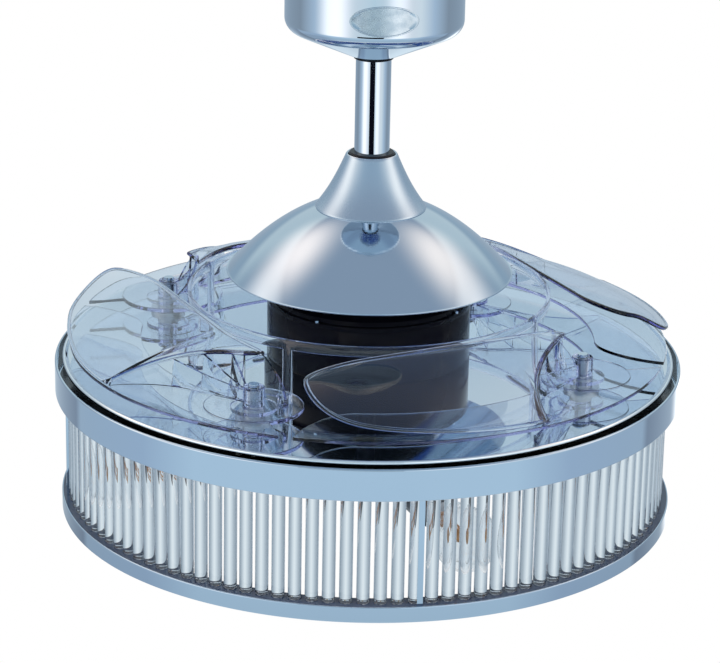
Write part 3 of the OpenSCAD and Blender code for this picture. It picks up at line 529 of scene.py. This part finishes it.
def makeCone(s):
    # a skirt that stands on the dome and flares out towards its foot
    footZ = domeHeight(s["foot"] - s["wall"])
    n = s["points"]
    radii = [s["top"] + (s["foot"] - s["top"]) * ((1 - i / n) * (1 - s["flare"]) + s["flare"] * (1 - i / n) ** 3)
             for i in range(n + 1)]
    outline = [(r, footZ + s["height"] * i / n) for i, r in enumerate(radii)]
    outline[-1] = (outline[-1][0] - s["lipIn"], outline[-1][1] - s["lipDrop"])
    obj = soften(thicken(turned("coneSkirt", outline), s["wall"]), s["edge"], 2, 50)
    return dressed(shade(obj, 40), "hanging", "satin_chrome", mats["satinChrome"], "cone_cover")


makeCanopy(canopySet)
makeBadge(badgeSet, canopySet["radius"])
makeSeal(sealSet)
makeDome(domeSet)
makeCone(coneSet)
print("suspension made")


# ---- drum: bands and tray ----

bandSet = {"out": 0.285, "wall": 0.0018, "height": 0.0283, "lipIn": 0.2605, "lip": 0.0013, "round": 0.0011,
           "footRound": 0.0004}
ringSet = {"out": 0.2802, "wall": 0.0018, "height": 0.014, "lipIn": 0.2605, "lip": 0.0013, "round": 0.0007,
           "footRound": 0.0004, "topZ": -0.1263}


def makeBand(name, node, s, topZ, lipAtTop):
    # an upright wall with rounded edges and a flat lip inwards, at its foot or its top
    inner, foot, e, small = s["out"] - s["wall"], topZ - s["height"], s["round"], s["footRound"]
    outline = arc(s["out"] - small, foot + small, small, -90, 0, 4) + arc(s["out"] - e, topZ - e, e, 0, 90, 4)
    if lipAtTop:
        outline += [(s["lipIn"], topZ), (s["lipIn"], topZ - s["lip"]), (inner, topZ - s["lip"]), (inner, foot)]
    else:
        outline += [(inner, topZ), (inner, foot + s["lip"]), (s["lipIn"], foot + s["lip"]), (s["lipIn"], foot)]
    obj = turned(name, outline, 256, closed=True)
    dressed(shade(obj, 45), "hanging", "chrome_shell", mats["mirrorChrome"], node)
    if lipAtTop:    # painted shade: the shelf the rods stand on is made dark
        painted(obj, mats["paintedShadeNavy"],
                lambda centre, normal: normal.z > upperSlope and hypot(centre.x, centre.y) < inner)
    return obj


makeBand("upperBandRing", "upper_band", bandSet, deckZ, False)
makeBand("lowerBandRing", "lower_ring", ringSet, deckZ + ringSet["topZ"], True)

traySet = {"rim": 0.278, "bore": 0.024, "top": 0.003, "sheet": 0.0015, "rise": 0.0018, "roll": 0.0016,
           "bend": 0.002, "bendIn": 0.0056, "edgeZ": 0.001, "edge": 0.0003, "highlightReach": 1.9}


def makeTray(s):
    # one mirror sheet: flat floor, a soft bend up and a rolled rim
    top, r = deckZ + s["top"], s["rim"]
    bend = arc(r - s["bendIn"], top + s["bend"], s["bend"], -90, -45, 6)
    roll = arc(r - s["roll"], top + s["rise"] - s["roll"], s["roll"], 140, 0, 14)
    outline = [(s["bore"], top)] + bend + roll + [(r, deckZ + s["edgeZ"])]
    obj = soften(thicken(turned("trayDish", outline, 256, facing=(0, 1)), s["sheet"]), s["edge"], 2, 50)
    dressed(shade(obj, 45), "rotor", "mirror_tray", mats["trayMirror"], "tray")
    # painted highlight: the faces of the rolled rim take a brighter metal colour
    return painted(obj, mats["paintedRimHighlight"],
                   lambda centre, normal: hypot(centre.x, centre.y) > r - s["highlightReach"] * s["roll"])


makeTray(traySet)
print("drum made")


# ---- blades and collar ----

bladeSet = {"pivot": 0.212, "firstAz": -117, "sheet": 0.003, "rim": 0.2714, "bore": 0.168, "crestZ": 0.063,
            "flangeZ": 0.0193, "sweep": 75.2, "crown": 0.004, "tip": 0.239, "rows": 104, "columns": 20,
            "crestRows": 8, "wingRows": 18, "turn": 20, "apex": 2.5, "rootSpan": 17, "rootIn": 0.018,
            "rootDrop": 0.006, "crestX": -0.012, "crestStart": 0.017, "crestEnd": 29, "crestEndZ": 0.025,
            "crestDrop": 0.002, "bead": 0.0021, "beadSteps": 4, "beadGap": 0.0022, "lean": 0.009,
            "wallSheet": 0.0024, "wallEnd": 0.98, "wallBack": 0.002, "chordTurn": 0.48, "tipTurn": 89,
            "innerTip": 11, "outerTip": 13, "dropTip": 25, "climb": ((0.38, 1.6), (0.62, 9))}
hubSet = {"discR": 0.043, "bossR": 0.020, "postR": 0.0095, "footZ": 0.0124, "postTop": 0.036, "shaftR": 0.00515,
          "screwR": 0.0021, "cap": 0.003, "bite": 0.0005, "over": 0.0004, "skirtR": 0.027, "skirtSlope": 47,
          "skirtFrom": 90, "skirtTurn": 136, "skirtLow": 0.0006, "rib": 0.0024, "ribs": (0.1, 0.34, 0.58),
          "ribIn": 0.001, "ribElbow": (0.6, 0.62), "ribBelow": 0.006}
flangeSet = {"in": 0.206, "end": 76, "round": 11, "back": 11.5, "outerSteps": 72, "endSteps": 16, "innerSteps": 48}


def polar(r, a, z):
    # a point by its radius, its degrees clockwise from +X and its height
    return Vector((r * cos(radians(a)), -r * sin(radians(a)), z))


def tipEase(a, span, s):
    # 0 up to the last degrees before the tip, then a quarter circle to 1
    v = max(0, 1 - (s["sweep"] - a) / span)
    return 1 - sqrt(max(0, 1 - v * v))


def innerEdge(a, s):
    # a straight chord that comes in at the root and goes out at the tip
    ease = max(0, 1 - (a - s["apex"]) / s["rootSpan"]) ** 2
    straight = s["bore"] / cos(radians(a - s["sweep"] * s["chordTurn"]))
    last = s["bore"] / cos(radians(s["sweep"] * (1 - s["chordTurn"])))
    r = straight - s["rootIn"] * ease + (s["tip"] - last) * tipEase(a, s["innerTip"], s)
    return polar(r, a, s["crestZ"] - s["rootDrop"] * ease - s["crestDrop"] * tipEase(a, s["dropTip"], s))


def outerEdge(a, s):
    # along the rim from the crest's end, climbing to the tip
    r = s["rim"] - (s["rim"] - s["tip"]) * tipEase(a, s["outerTip"], s)
    u = max(0, (a - s["crestEnd"]) / (s["sweep"] - s["crestEnd"]))
    top = s["crestZ"] - s["crestDrop"] - s["crestEndZ"]
    return polar(r, a, s["crestEndZ"] + top * sum(share * u ** power for share, power in s["climb"]))


def crestLine(share, s):
    # the top of the crest wall, from the hub to the rim
    endX = s["rim"] * cos(radians(s["crestEnd"])) - s["pivot"]
    endY = s["rim"] * sin(radians(s["crestEnd"]))
    y = s["crestStart"] + (endY - s["crestStart"]) * share
    u, top = y / endY, s["crestZ"] - s["crestDrop"]
    return Vector((s["pivot"] + s["crestX"] + (endX - s["crestX"]) * u ** 4, -y, top - (top - s["crestEndZ"]) * u * u))


def wingEnds(row, s):
    # the inner and the outer end of one row; rows run from the root to the tip
    past = row - s["crestRows"]
    tipward = sin(radians(s["tipTurn"] * past / s["wingRows"]))
    if past <= 0:
        inner = innerEdge(s["apex"] + (s["turn"] - s["apex"]) * row / s["crestRows"], s)
        return inner, crestLine(row / s["crestRows"], s)
    inner = innerEdge(s["turn"] + (s["sweep"] - s["turn"]) * tipward, s)
    return inner, outerEdge(s["crestEnd"] + (s["sweep"] - s["crestEnd"]) * tipward, s)


def wingPoint(u, t, s):
    # the wing is crowned between its edges, except at the root and the tip
    row = u * (s["crestRows"] + s["wingRows"])
    inner, outer = wingEnds(row, s)
    fade = min(1, row / s["crestRows"]) * (1 - (max(0, row - s["crestRows"]) / s["wingRows"]) ** 3)
    return inner.lerp(outer, t) + Vector((0, 0, s["crown"] * 4 * t * (1 - t) * fade))


def sheetFrom(name, rows, columns, place, shift=None):
    # a grid primitive laid on a curved surface, then pulled out by its thickness
    bpy.ops.object.select_all(action="DESELECT")
    bpy.ops.mesh.primitive_grid_add(x_subdivisions=rows, y_subdivisions=columns, size=1, location=(0, 0, 0))
    obj = named(bpy.context.object, name)
    for v in obj.data.vertices:
        v.co = place(v.co.x + 0.5, v.co.y + 0.5)
    if shift:
        editAll()
        pulled(shift)
        editMode(False)
    return tidyMesh(obj)


def plateFrom(name, points, shift, bevel):
    # a flat outline drawn on a circle primitive, pulled out by its thickness
    bpy.ops.object.select_all(action="DESELECT")
    bpy.ops.mesh.primitive_circle_add(vertices=len(points), radius=1, fill_type="NGON", location=(0, 0, 0))
    obj = named(bpy.context.object, name)
    for v, p in zip(obj.data.vertices, points):
        v.co = p
    editAll()
    pulled(shift)
    editMode(False)
    return soften(tidyMesh(obj), bevel, 2, 60)


def roundBar(name, radius, z0, z1, bevel=0.0, sides=64):
    bpy.ops.object.select_all(action="DESELECT")
    bpy.ops.mesh.primitive_cylinder_add(vertices=sides, radius=radius, depth=z1 - z0, location=(0, 0, (z0 + z1) / 2))
    obj = named(placed(bpy.context.object), name)
    return soften(obj, bevel, 3, 60) if bevel else obj


def combined(base, parts, operation):
    # one closed shape out of several, by a Boolean modifier on a collection
    group = bpy.data.collections.new("operands")
    bpy.context.scene.collection.children.link(group)
    for part in parts:
        group.objects.link(part)
    pick(base)
    cut = base.modifiers.new("combine", "BOOLEAN")
    cut.operation, cut.operand_type, cut.collection, cut.solver = operation, "COLLECTION", group, "EXACT"
    bpy.ops.object.modifier_apply(modifier=cut.name)
    for part in parts:
        bpy.data.objects.remove(part)
    bpy.data.collections.remove(group)
    return base


def rimBead(s):
    # the rounded edge that runs round the wing
    rows, steps = s["crestRows"] + s["wingRows"], s["beadSteps"]
    path = [wingEnds(i / steps, s)[0] for i in range(steps * rows + 1)]
    path += [wingEnds(rows - i / steps, s)[1] for i in range(steps * rows + 1)]
    kept = [path[0]]
    for p in path[1:]:
        if (p - kept[-1]).length > s["beadGap"]:
            kept.append(p)
    bend = bpy.data.curves.new("rimBead", "CURVE")
    bend.dimensions, bend.bevel_depth, bend.bevel_resolution, bend.use_fill_caps = "3D", s["bead"], 3, True
    line = bend.splines.new("POLY")
    line.points.add(len(kept) - 1)
    for point, p in zip(line.points, kept):
        point.co = (p.x, p.y, p.z - s["sheet"] / 2, 1)
    line.use_cyclic_u = True
    pick(linked("rimBead", bend))
    bpy.ops.object.convert(target="MESH")
    return tidyMesh(bpy.context.object)


def flangePoints(s, f):
    # the foot flange's outline: along the rim, round its far end and back to the hub
    back, end, rim, n = -f["back"], f["end"], s["rim"], f["endSteps"]
    turns = [(rim, back + (end - back) * i / f["outerSteps"]) for i in range(f["outerSteps"] + 1)]
    turns += [(rim - (rim - f["in"]) * sin(radians(90 * i / n)), end - f["round"] * (1 - cos(radians(90 * i / n))))
              for i in range(1, n + 1)]
    turns += [(f["in"], (end - f["round"]) * (1 - i / f["innerSteps"])) for i in range(1, f["innerSteps"] + 1)]
    return [polar(r, a, s["flangeZ"] - s["sheet"]) for r, a in turns]


def skirtPoint(u, t, s, h):
    # the skirt stands round the pivot's inner side and its top falls to the flange at one end
    a = radians(h["skirtFrom"] + h["skirtTurn"] * u)
    full = innerEdge(s["apex"], s).z - s["flangeZ"] - h["bite"]
    top = min(full, h["skirtLow"] + (1 - sin(a)) * h["skirtR"] * tan(radians(h["skirtSlope"])))
    return Vector((s["pivot"] + h["skirtR"] * cos(a), h["skirtR"] * sin(a), s["flangeZ"] - h["bite"] + top * t))


def ribPlate(share, s, h):
    # an upright plate from the hub post to the crest wall
    q = crestLine(share, s) - Vector((s["pivot"], 0, 0))
    reach, rise = sqrt(q.x ** 2 + q.y ** 2), q.z - s["flangeZ"]
    ahead = Vector((q.x, q.y, 0)) / reach
    side = Vector((-ahead.y, ahead.x, 0)) * h["rib"]
    start = h["postR"] - h["ribIn"]
    shape = [(start, -h["bite"]), (reach + h["ribIn"], -h["bite"]), (reach - h["ribIn"], rise - s["sheet"]),
             (reach * h["ribElbow"][0], rise * h["ribElbow"][1]), (start, h["postTop"] - h["ribBelow"] - s["flangeZ"])]
    base = Vector((s["pivot"], 0, s["flangeZ"])) - side / 2
    return plateFrom("hubRib", [base + ahead * x + Vector((0, 0, z)) for x, z in shape], side, 0.0003)


def makeBladeShape(s, h, f):
    # wing, bead, crest wall, skirt, hub, foot flange and ribs as one moulding, bored for its shaft and screw
    footZ = s["flangeZ"] - s["sheet"] / 2

    def wallPoint(u, t):
        p = crestLine(s["wallEnd"] * u, s) - Vector((h["bite"], 0, s["sheet"] / 3))
        drop = p.z - footZ
        out = s["lean"] * drop / (s["crestZ"] - footZ)
        return p + Vector((out * t * t, -s["wallBack"] * t, -drop * t))

    def atPivot(*size):
        bar = roundBar(*size)
        bar.data.transform(Matrix.Translation((s["pivot"], 0, 0)))
        return bar

    wing = sheetFrom("wing", s["rows"], s["columns"], lambda u, t: wingPoint(u, t, s), (0, 0, -s["sheet"]))
    wall = sheetFrom("crestWall", 48, 10, wallPoint, (-s["wallSheet"], 0, 0))
    skirt = sheetFrom("hubSkirt", 56, 6, lambda u, t: skirtPoint(u, t, s, h))
    thicken(skirt, s["wallSheet"], 0)
    disc = atPivot("hubDisc", h["discR"], s["flangeZ"] - s["sheet"] - h["over"], s["flangeZ"] + h["over"], 0.0006, 128)
    boss = atPivot("hubBoss", h["bossR"], h["footZ"], s["flangeZ"] - 0.001, 0.0005, 96)
    post = atPivot("hubPost", h["postR"], h["footZ"] + 0.0002, h["postTop"], 0.0012, 64)
    flange = plateFrom("footFlange", flangePoints(s, f), (0, 0, s["sheet"]), 0.0008)
    ribs = [ribPlate(share, s, h) for share in h["ribs"]]
    blade = combined(flange, [wing, rimBead(s), wall, skirt, disc, boss, post] + ribs, "UNION")
    bore = atPivot("shaftBore", h["shaftR"], -0.01, h["postTop"] - h["cap"])
    screw = atPivot("screwBore", h["screwR"], 0.02, h["postTop"] + 0.01, 0, 32)
    return named(tidyMesh(combined(blade, [bore, screw], "DIFFERENCE"), recalc=False), "bladeShape")


bladeShape = evened(shade(makeBladeShape(bladeSet, hubSet, flangeSet), 38))
for k in (1, 2, 3, 4):
    turn = Matrix.Rotation(radians(bladeSet["firstAz"] + 90 * (k - 1)), 4, "Z")
    blade = copied(bladeShape, f"clearBlade_{k}", Matrix.Translation((0, 0, deckZ)) @ turn)
    dressed(blade, f"blade_body_{k}", "clear_blade", mats["bladePlastic"], f"blade_{k}")
bpy.data.objects.remove(bladeShape)
collar = soften(cleanCopy("collar_ring", "collarGuard"), 0.0005, 2, 40)
dressed(shade(collar, 32), "rotor", "clear_blade", mats["bladePlastic"], "collar_ring")
print("blades made")


# ---- glass rods ----

rodSet = {"ring": 0.2685, "radius": 0.0057, "count": 116, "sides": 22, "bevel": 0.0005}


def makeRods(s):
    # one glass rod with softened ends, set 116 times round the drum
    foot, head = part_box("glass_rods")
    rod = soften(roundBar("rodShape", s["radius"], foot.z, head.z, 0, s["sides"]), s["bevel"], 1, 60)
    out = Matrix.Translation((s["ring"], 0, 0))
    rods = [copied(rod, f"rod{k}", Matrix.Rotation(2 * pi * k / s["count"], 4, "Z") @ out)
            for k in range(s["count"])]
    bpy.data.objects.remove(rod)
    obj = shade(joined("glassRods", rods))
    return dressed(obj, "hanging", "rod_glass", mats["clearRodGlass"], "glass_rods")


makeRods(rodSet)
print("rods made")


# ---- motor: softened edges ----

for node, name in (("motor_housing", "motorCup"), ("motor_cover", "motorLid")):
    cup = soften(cleanCopy(node, name), 0.0008, 2, 30)
    dressed(shade(cup, 28), "rotor", "motor_black", mats["motorGloss"], node)
print("motor made")


# ---- studio ----

def glowMaterial(name):
    # an unlit surface: the material and its emission node
    mat = bpy.data.materials.new(name)
    mat.use_nodes = True
    nodes = mat.node_tree.nodes
    nodes.remove(nodes["Principled BSDF"])
    glow = nodes.new("ShaderNodeEmission")
    wired(mat.node_tree, (glow.outputs[0], nodes["Material Output"].inputs["Surface"]))
    return mat, glow


def directRays(tree):
    # 1 for the rays that show the backdrop itself: from the camera, off a mirror or through glass
    path, first, both = (tree.nodes.new(kind) for kind in ("ShaderNodeLightPath", "ShaderNodeMath", "ShaderNodeMath"))
    first.operation = both.operation = "ADD"
    both.use_clamp = True
    wired(tree, (path.outputs["Is Camera Ray"], first.inputs[0]), (path.outputs["Is Glossy Ray"], first.inputs[1]),
          (first.outputs[0], both.inputs[0]), (path.outputs["Is Transmission Ray"], both.inputs[1]))
    return both.outputs[0]


tentSet = {
    "radius": 1.5, "foot": -1.95, "top": 1.2,
    # cloth colours by degrees round from the front: what the bands, the rod and the cone mirror
    "belt": [(0, (0.6, 0.76, 0.88)), (58, (0.6, 0.76, 0.88)), (80, (0.46, 0.58, 0.72)), (118, (0.44, 0.55, 0.66)),
             (122, (0.29, 0.35, 0.43)), (150, (0.46, 0.55, 0.64)), (180, (0.78, 0.9, 0.98))],
    "middle": [(0, (0.74, 0.88, 0.93)), (42, (1.0, 1.0, 1.0)), (60, (0.95, 1.0, 1.0)), (80, (0.56, 0.68, 0.8)),
               (106, (0.33, 0.39, 0.45)), (180, (0.4, 0.5, 0.6))],
    "above": [(0, (0.38, 0.53, 0.66)), (30, (0.42, 0.57, 0.69)), (62, (0.84, 0.9, 0.94)), (88, (0.98, 1.0, 1.0)),
              (108, (0.5, 0.6, 0.7)), (126, (0.34, 0.45, 0.55)), (180, (0.38, 0.5, 0.6))],
    "rearPanel": (0.62, 0.73, 0.77, 1), "upper": (0.38, 0.49, 0.6, 1), "roof": (0.34, 0.42, 0.52, 1),
    # soft lamp patches: centre, reach, colour; the front ones only brighten the middle
    "otherLobes": [((-1.15, 0.68, 1.15), 1.04, (1.2, 0.9, 0.68, 1)), ((1.15, 0.6, 1.15), 1.06, (1.1, 0.82, 0.6, 1)),
                   ((0.66, 1.35, -0.9), 0.5, (1.0, 0.9, 0.8, 1)), ((-1.49, 0.05, 0.5), 0.9, (0.6, 0.5, 0.4, 1)),
                   ((1.49, -0.05, 0.55), 0.9, (0.5, 0.42, 0.34, 1))],
    "frontLobes": [((-1.17, -0.94, -0.4), 0.85, (0.72, 0.58, 0.52, 1)),
                   ((0.75, -1.3, -0.5), 0.6, (0.6, 0.5, 0.45, 1))],
    "beltShift": 8,
    # what is seen straight through clear plastic and glass
    "throughLow": [(0, (0.7, 0.78, 0.83)), (60, (0.26, 0.33, 0.41)), (120, (0.24, 0.31, 0.38)),
                   (150, (0.4, 0.48, 0.55)), (168, (0.62, 0.71, 0.77)), (180, (0.74, 0.82, 0.86))],
    "throughHigh": [(0, (0.58, 0.71, 0.78)), (70, (0.74, 0.86, 0.93)), (120, (0.6, 0.73, 0.81)),
                    (150, (0.58, 0.71, 0.78)), (180, (0.62, 0.75, 0.81))],
    "throughRoof": (0.06, 0.12, 0.34, 1),
    # heights between which one cloth fades into the next; rearFrom is a share of the way round
    "beltFoot": (-1.1, -0.92, 0.85, 1.0), "beltTop": (-0.76, -0.6), "middleTop": (-0.3, -0.06),
    "rearFrom": (0.68, 0.8), "rearFoot": (-0.02, 0.2), "upperFrom": (0.6, 0.88), "roofFrom": (0.95, 1.19),
    "throughRise": (-0.6, 0.1), "throughTop": (0.8, 1.19),
}


def makeTent(s):
    # a light tent round the fan: what the polished metal mirrors
    bpy.ops.object.select_all(action="DESELECT")
    bpy.ops.mesh.primitive_cylinder_add(vertices=96, radius=s["radius"], depth=s["top"] - s["foot"],
                                        location=(0, 0, (s["top"] + s["foot"]) / 2))
    obj = shade(flipped(named(placed(bpy.context.object), "lightTent")), 40)
    mat, glow = glowMaterial("tentCloth")
    tree, nodes = mat.node_tree, mat.node_tree.nodes
    place, split = nodes.new("ShaderNodeTexCoord"), nodes.new("ShaderNodeSeparateXYZ")
    wired(tree, (place.outputs["Object"], split.inputs[0]))

    def given(value, into):
        # a socket is linked, a plain number or colour is set
        if isinstance(value, (int, float, tuple)):
            into.default_value = value
        else:
            tree.links.new(value, into)

    def number(operation, a, b=0.0):
        calc = nodes.new("ShaderNodeMath")
        calc.operation = operation
        given(a, calc.inputs[0])
        given(b, calc.inputs[1])
        return calc.outputs[0]

    def ramp(source, stops):
        band = nodes.new("ShaderNodeValToRGB")
        while len(band.color_ramp.elements) < len(stops):
            band.color_ramp.elements.new(0.5)
        for element, (at, colour) in zip(band.color_ramp.elements, stops):
            element.position, element.color = at / 180, (*colour, 1)
        given(source, band.inputs["Fac"])
        return band.outputs["Color"]

    def mixed(factor, a, b, way="MIX"):
        both = nodes.new("ShaderNodeMix")
        both.data_type, both.blend_type, both.clamp_result = "RGBA", way, False
        for value, label in ((factor, "Factor"), (a, "A"), (b, "B")):
            given(value, both.inputs[label])
        return both.outputs["Result"]

    def spanned(source, fromMin, fromMax, toMin=0.0, toMax=1.0, curve="SMOOTHSTEP"):
        span = nodes.new("ShaderNodeMapRange")
        span.interpolation_type = curve
        setSpan(span, fromMin, fromMax, toMin, toMax)
        given(source, span.inputs["Value"])
        return span.outputs["Result"]

    def lobe(centre, reach):
        # 1 at the centre of a soft lamp patch, 0 at its reach
        gap, size = nodes.new("ShaderNodeVectorMath"), nodes.new("ShaderNodeVectorMath")
        gap.operation, size.operation = "SUBTRACT", "LENGTH"
        gap.inputs[1].default_value = centre
        wired(tree, (place.outputs["Object"], gap.inputs[0]), (gap.outputs[0], size.inputs[0]))
        return spanned(size.outputs["Value"], 0, reach, 1, 0, "SMOOTHERSTEP")

    # how far round the wall a point is from the front: 0 in front, 1 behind
    height = split.outputs["Z"]
    share = number("DIVIDE", number("ABSOLUTE", number("ARCTAN2", split.outputs["X"],
                                                       number("MULTIPLY", split.outputs["Y"], -1))), pi)
    rightward = number("MULTIPLY", number("GREATER_THAN", split.outputs["X"], 0.0), s["beltShift"] / 180)
    belt = ramp(number("ADD", share, rightward), s["belt"])
    belt = mixed(spanned(height, *s["beltFoot"]), (0, 0, 0, 1), belt)
    middle, above = ramp(share, s["middle"]), ramp(share, s["above"])
    for centre, reach, colour in s["frontLobes"]:
        middle = mixed(lobe(centre, reach), middle, colour, "ADD")
    rear = number("MULTIPLY", spanned(share, *s["rearFrom"]), spanned(height, *s["rearFoot"]))
    above = mixed(spanned(height, *s["upperFrom"]), above, s["upper"])
    above = mixed(rear, above, s["rearPanel"])
    above = mixed(spanned(height, *s["roofFrom"]), above, s["roof"])
    mirrored = mixed(spanned(height, *s["middleTop"]), mixed(spanned(height, *s["beltTop"]), belt, middle), above)
    for centre, reach, colour in s["otherLobes"]:
        mirrored = mixed(lobe(centre, reach), mirrored, colour, "ADD")
    through = mixed(spanned(height, *s["throughRise"]), ramp(share, s["throughLow"]), ramp(share, s["throughHigh"]))
    through = mixed(spanned(height, *s["throughTop"]), through, s["throughRoof"])
    path = nodes.new("ShaderNodeLightPath")
    given(mixed(path.outputs["Is Transmission Ray"], mirrored, through), glow.inputs["Color"])
    obj.data.materials.append(mat)
    obj.visible_camera = obj.visible_diffuse = obj.visible_shadow = obj.visible_volume_scatter = False


cardSet = {"centre": (-0.13, -1.4, -0.517), "width": 0.86, "height": 0.205, "colour": (0.005, 0.005, 0.01, 1)}


def makeCard(name, s):
    # an upright card that only polished faces see
    bpy.ops.object.select_all(action="DESELECT")
    bpy.ops.mesh.primitive_plane_add(size=1, location=s["centre"], rotation=(pi / 2, 0, 0))
    obj = named(bpy.context.object, name)
    obj.scale = (s["width"], s["height"], 1)
    placed(obj)
    mat, glow = glowMaterial(name + "Cloth")
    glow.inputs["Color"].default_value = s["colour"]
    obj.data.materials.append(mat)
    obj.visible_camera = obj.visible_transmission = obj.visible_diffuse = obj.visible_shadow = False


floorSet = {"radius": 14, "z": -1.9, "colour": (0.9, 0.91, 0.92, 1), "rough": 0.8}


def makeFloor(s):
    # pale paper that shows plain white from above and lets rays from below pass
    bpy.ops.object.select_all(action="DESELECT")
    bpy.ops.mesh.primitive_circle_add(vertices=64, radius=s["radius"], fill_type="NGON", location=(0, 0, s["z"]))
    obj = named(placed(bpy.context.object), "paleFloor")
    mat = bpy.data.materials.new("floorPaper")
    mat.use_nodes = True
    tree, nodes = mat.node_tree, mat.node_tree.nodes
    shader = nodes["Principled BSDF"]
    shader.inputs["Base Color"].default_value = s["colour"]
    shader.inputs["Roughness"].default_value = s["rough"]
    glow, facing = nodes.new("ShaderNodeEmission"), nodes.new("ShaderNodeNewGeometry")
    below = nodes.new("ShaderNodeBsdfTransparent")
    mix, oneSide = nodes.new("ShaderNodeMixShader"), nodes.new("ShaderNodeMixShader")
    wired(tree, (directRays(tree), mix.inputs[0]), (shader.outputs[0], mix.inputs[1]), (glow.outputs[0], mix.inputs[2]),
          (facing.outputs["Backfacing"], oneSide.inputs[0]), (mix.outputs[0], oneSide.inputs[1]),
          (below.outputs[0], oneSide.inputs[2]), (oneSide.outputs[0], nodes["Material Output"].inputs["Surface"]))
    obj.data.materials.append(mat)


worldSet = {"colour": (0.86, 0.9, 0.96, 1), "strength": 0.7}


def makeWorld(s):
    # a soft bluish room that shows as plain white where it is seen itself
    world = bpy.data.worlds.new("softRoom")
    bpy.context.scene.world = world
    world.use_nodes = True
    tree, nodes = world.node_tree, world.node_tree.nodes
    base, white, mix = nodes["Background"], nodes.new("ShaderNodeBackground"), nodes.new("ShaderNodeMixShader")
    base.inputs["Color"].default_value, base.inputs["Strength"].default_value = s["colour"], s["strength"]
    white.inputs["Color"].default_value = (1, 1, 1, 1)
    wired(tree, (directRays(tree), mix.inputs[0]), (base.outputs[0], mix.inputs[1]), (white.outputs[0], mix.inputs[2]),
          (mix.outputs[0], nodes["World Output"].inputs["Surface"]))


# place, size and energy of each lamp; both look at the fan's middle
lampSet = {"softLeft": ((-2.2, -1.2, 1.6), 1.6, 40), "softRight": ((2.2, -1.0, 1.4), 1.6, 30)}
lampTarget = Vector((0, 0, -0.3))


def makeLamp(name, place, size, energy):
    lamp = bpy.data.lights.new(name, "AREA")
    lamp.shape, lamp.size, lamp.energy = "DISK", size, energy
    obj = linked(name, lamp)
    obj.location = place
    obj.rotation_euler = (lampTarget - Vector(place)).to_track_quat("-Z", "Y").to_euler()
    obj.visible_camera = obj.visible_glossy = obj.visible_transmission = False


makeTent(tentSet)
makeCard("darkStrip", cardSet)
makeFloor(floorSet)
makeWorld(worldSet)
for name, (place, size, energy) in lampSet.items():
    makeLamp(name, place, size, energy)

cameraSet = {"elevation": 19.616, "roll": 1.160, "yaw": -0.164, "pitch": 0.438, "distance": 2.6295,
             "lens": 143.61, "sensor": 36, "near": 0.1, "far": 60}


def makeCamera(s):
    # stands in front at the photo's elevation, then turned a little by yaw, pitch and roll
    e, r, a, b = (radians(s[k]) for k in ("elevation", "roll", "yaw", "pitch"))
    right, up, fwd = Vector((1, 0, 0)), Vector((0, sin(e), cos(e))), Vector((0, cos(e), -sin(e)))
    across = cos(a) * right - sin(a) * fwd
    ahead = sin(a) * right + cos(a) * fwd
    upward = cos(b) * up - sin(b) * ahead
    ahead = sin(b) * up + cos(b) * ahead
    x, y = cos(r) * across + sin(r) * upward, cos(r) * upward - sin(r) * across
    turn = Matrix((x, y, -ahead)).transposed()
    data = bpy.data.cameras.new("viewCamera")
    data.lens, data.sensor_width, data.clip_start, data.clip_end = s["lens"], s["sensor"], s["near"], s["far"]
    obj = linked("viewCamera", data)
    place = Vector((0, -cos(e), sin(e))) * s["distance"] + Vector((0, 0, deckZ))
    obj.matrix_world = Matrix.Translation(place) @ turn.to_4x4()
    bpy.context.scene.camera = obj


makeCamera(cameraSet)
bpy.context.scene.view_settings.view_transform = "Standard"
cycles = bpy.context.scene.cycles    # light passes many clear walls here
cycles.max_bounces = cycles.transmission_bounces = 36
cycles.transparent_max_bounces = 24
cycles.glossy_bounces = 10
print("studio made")
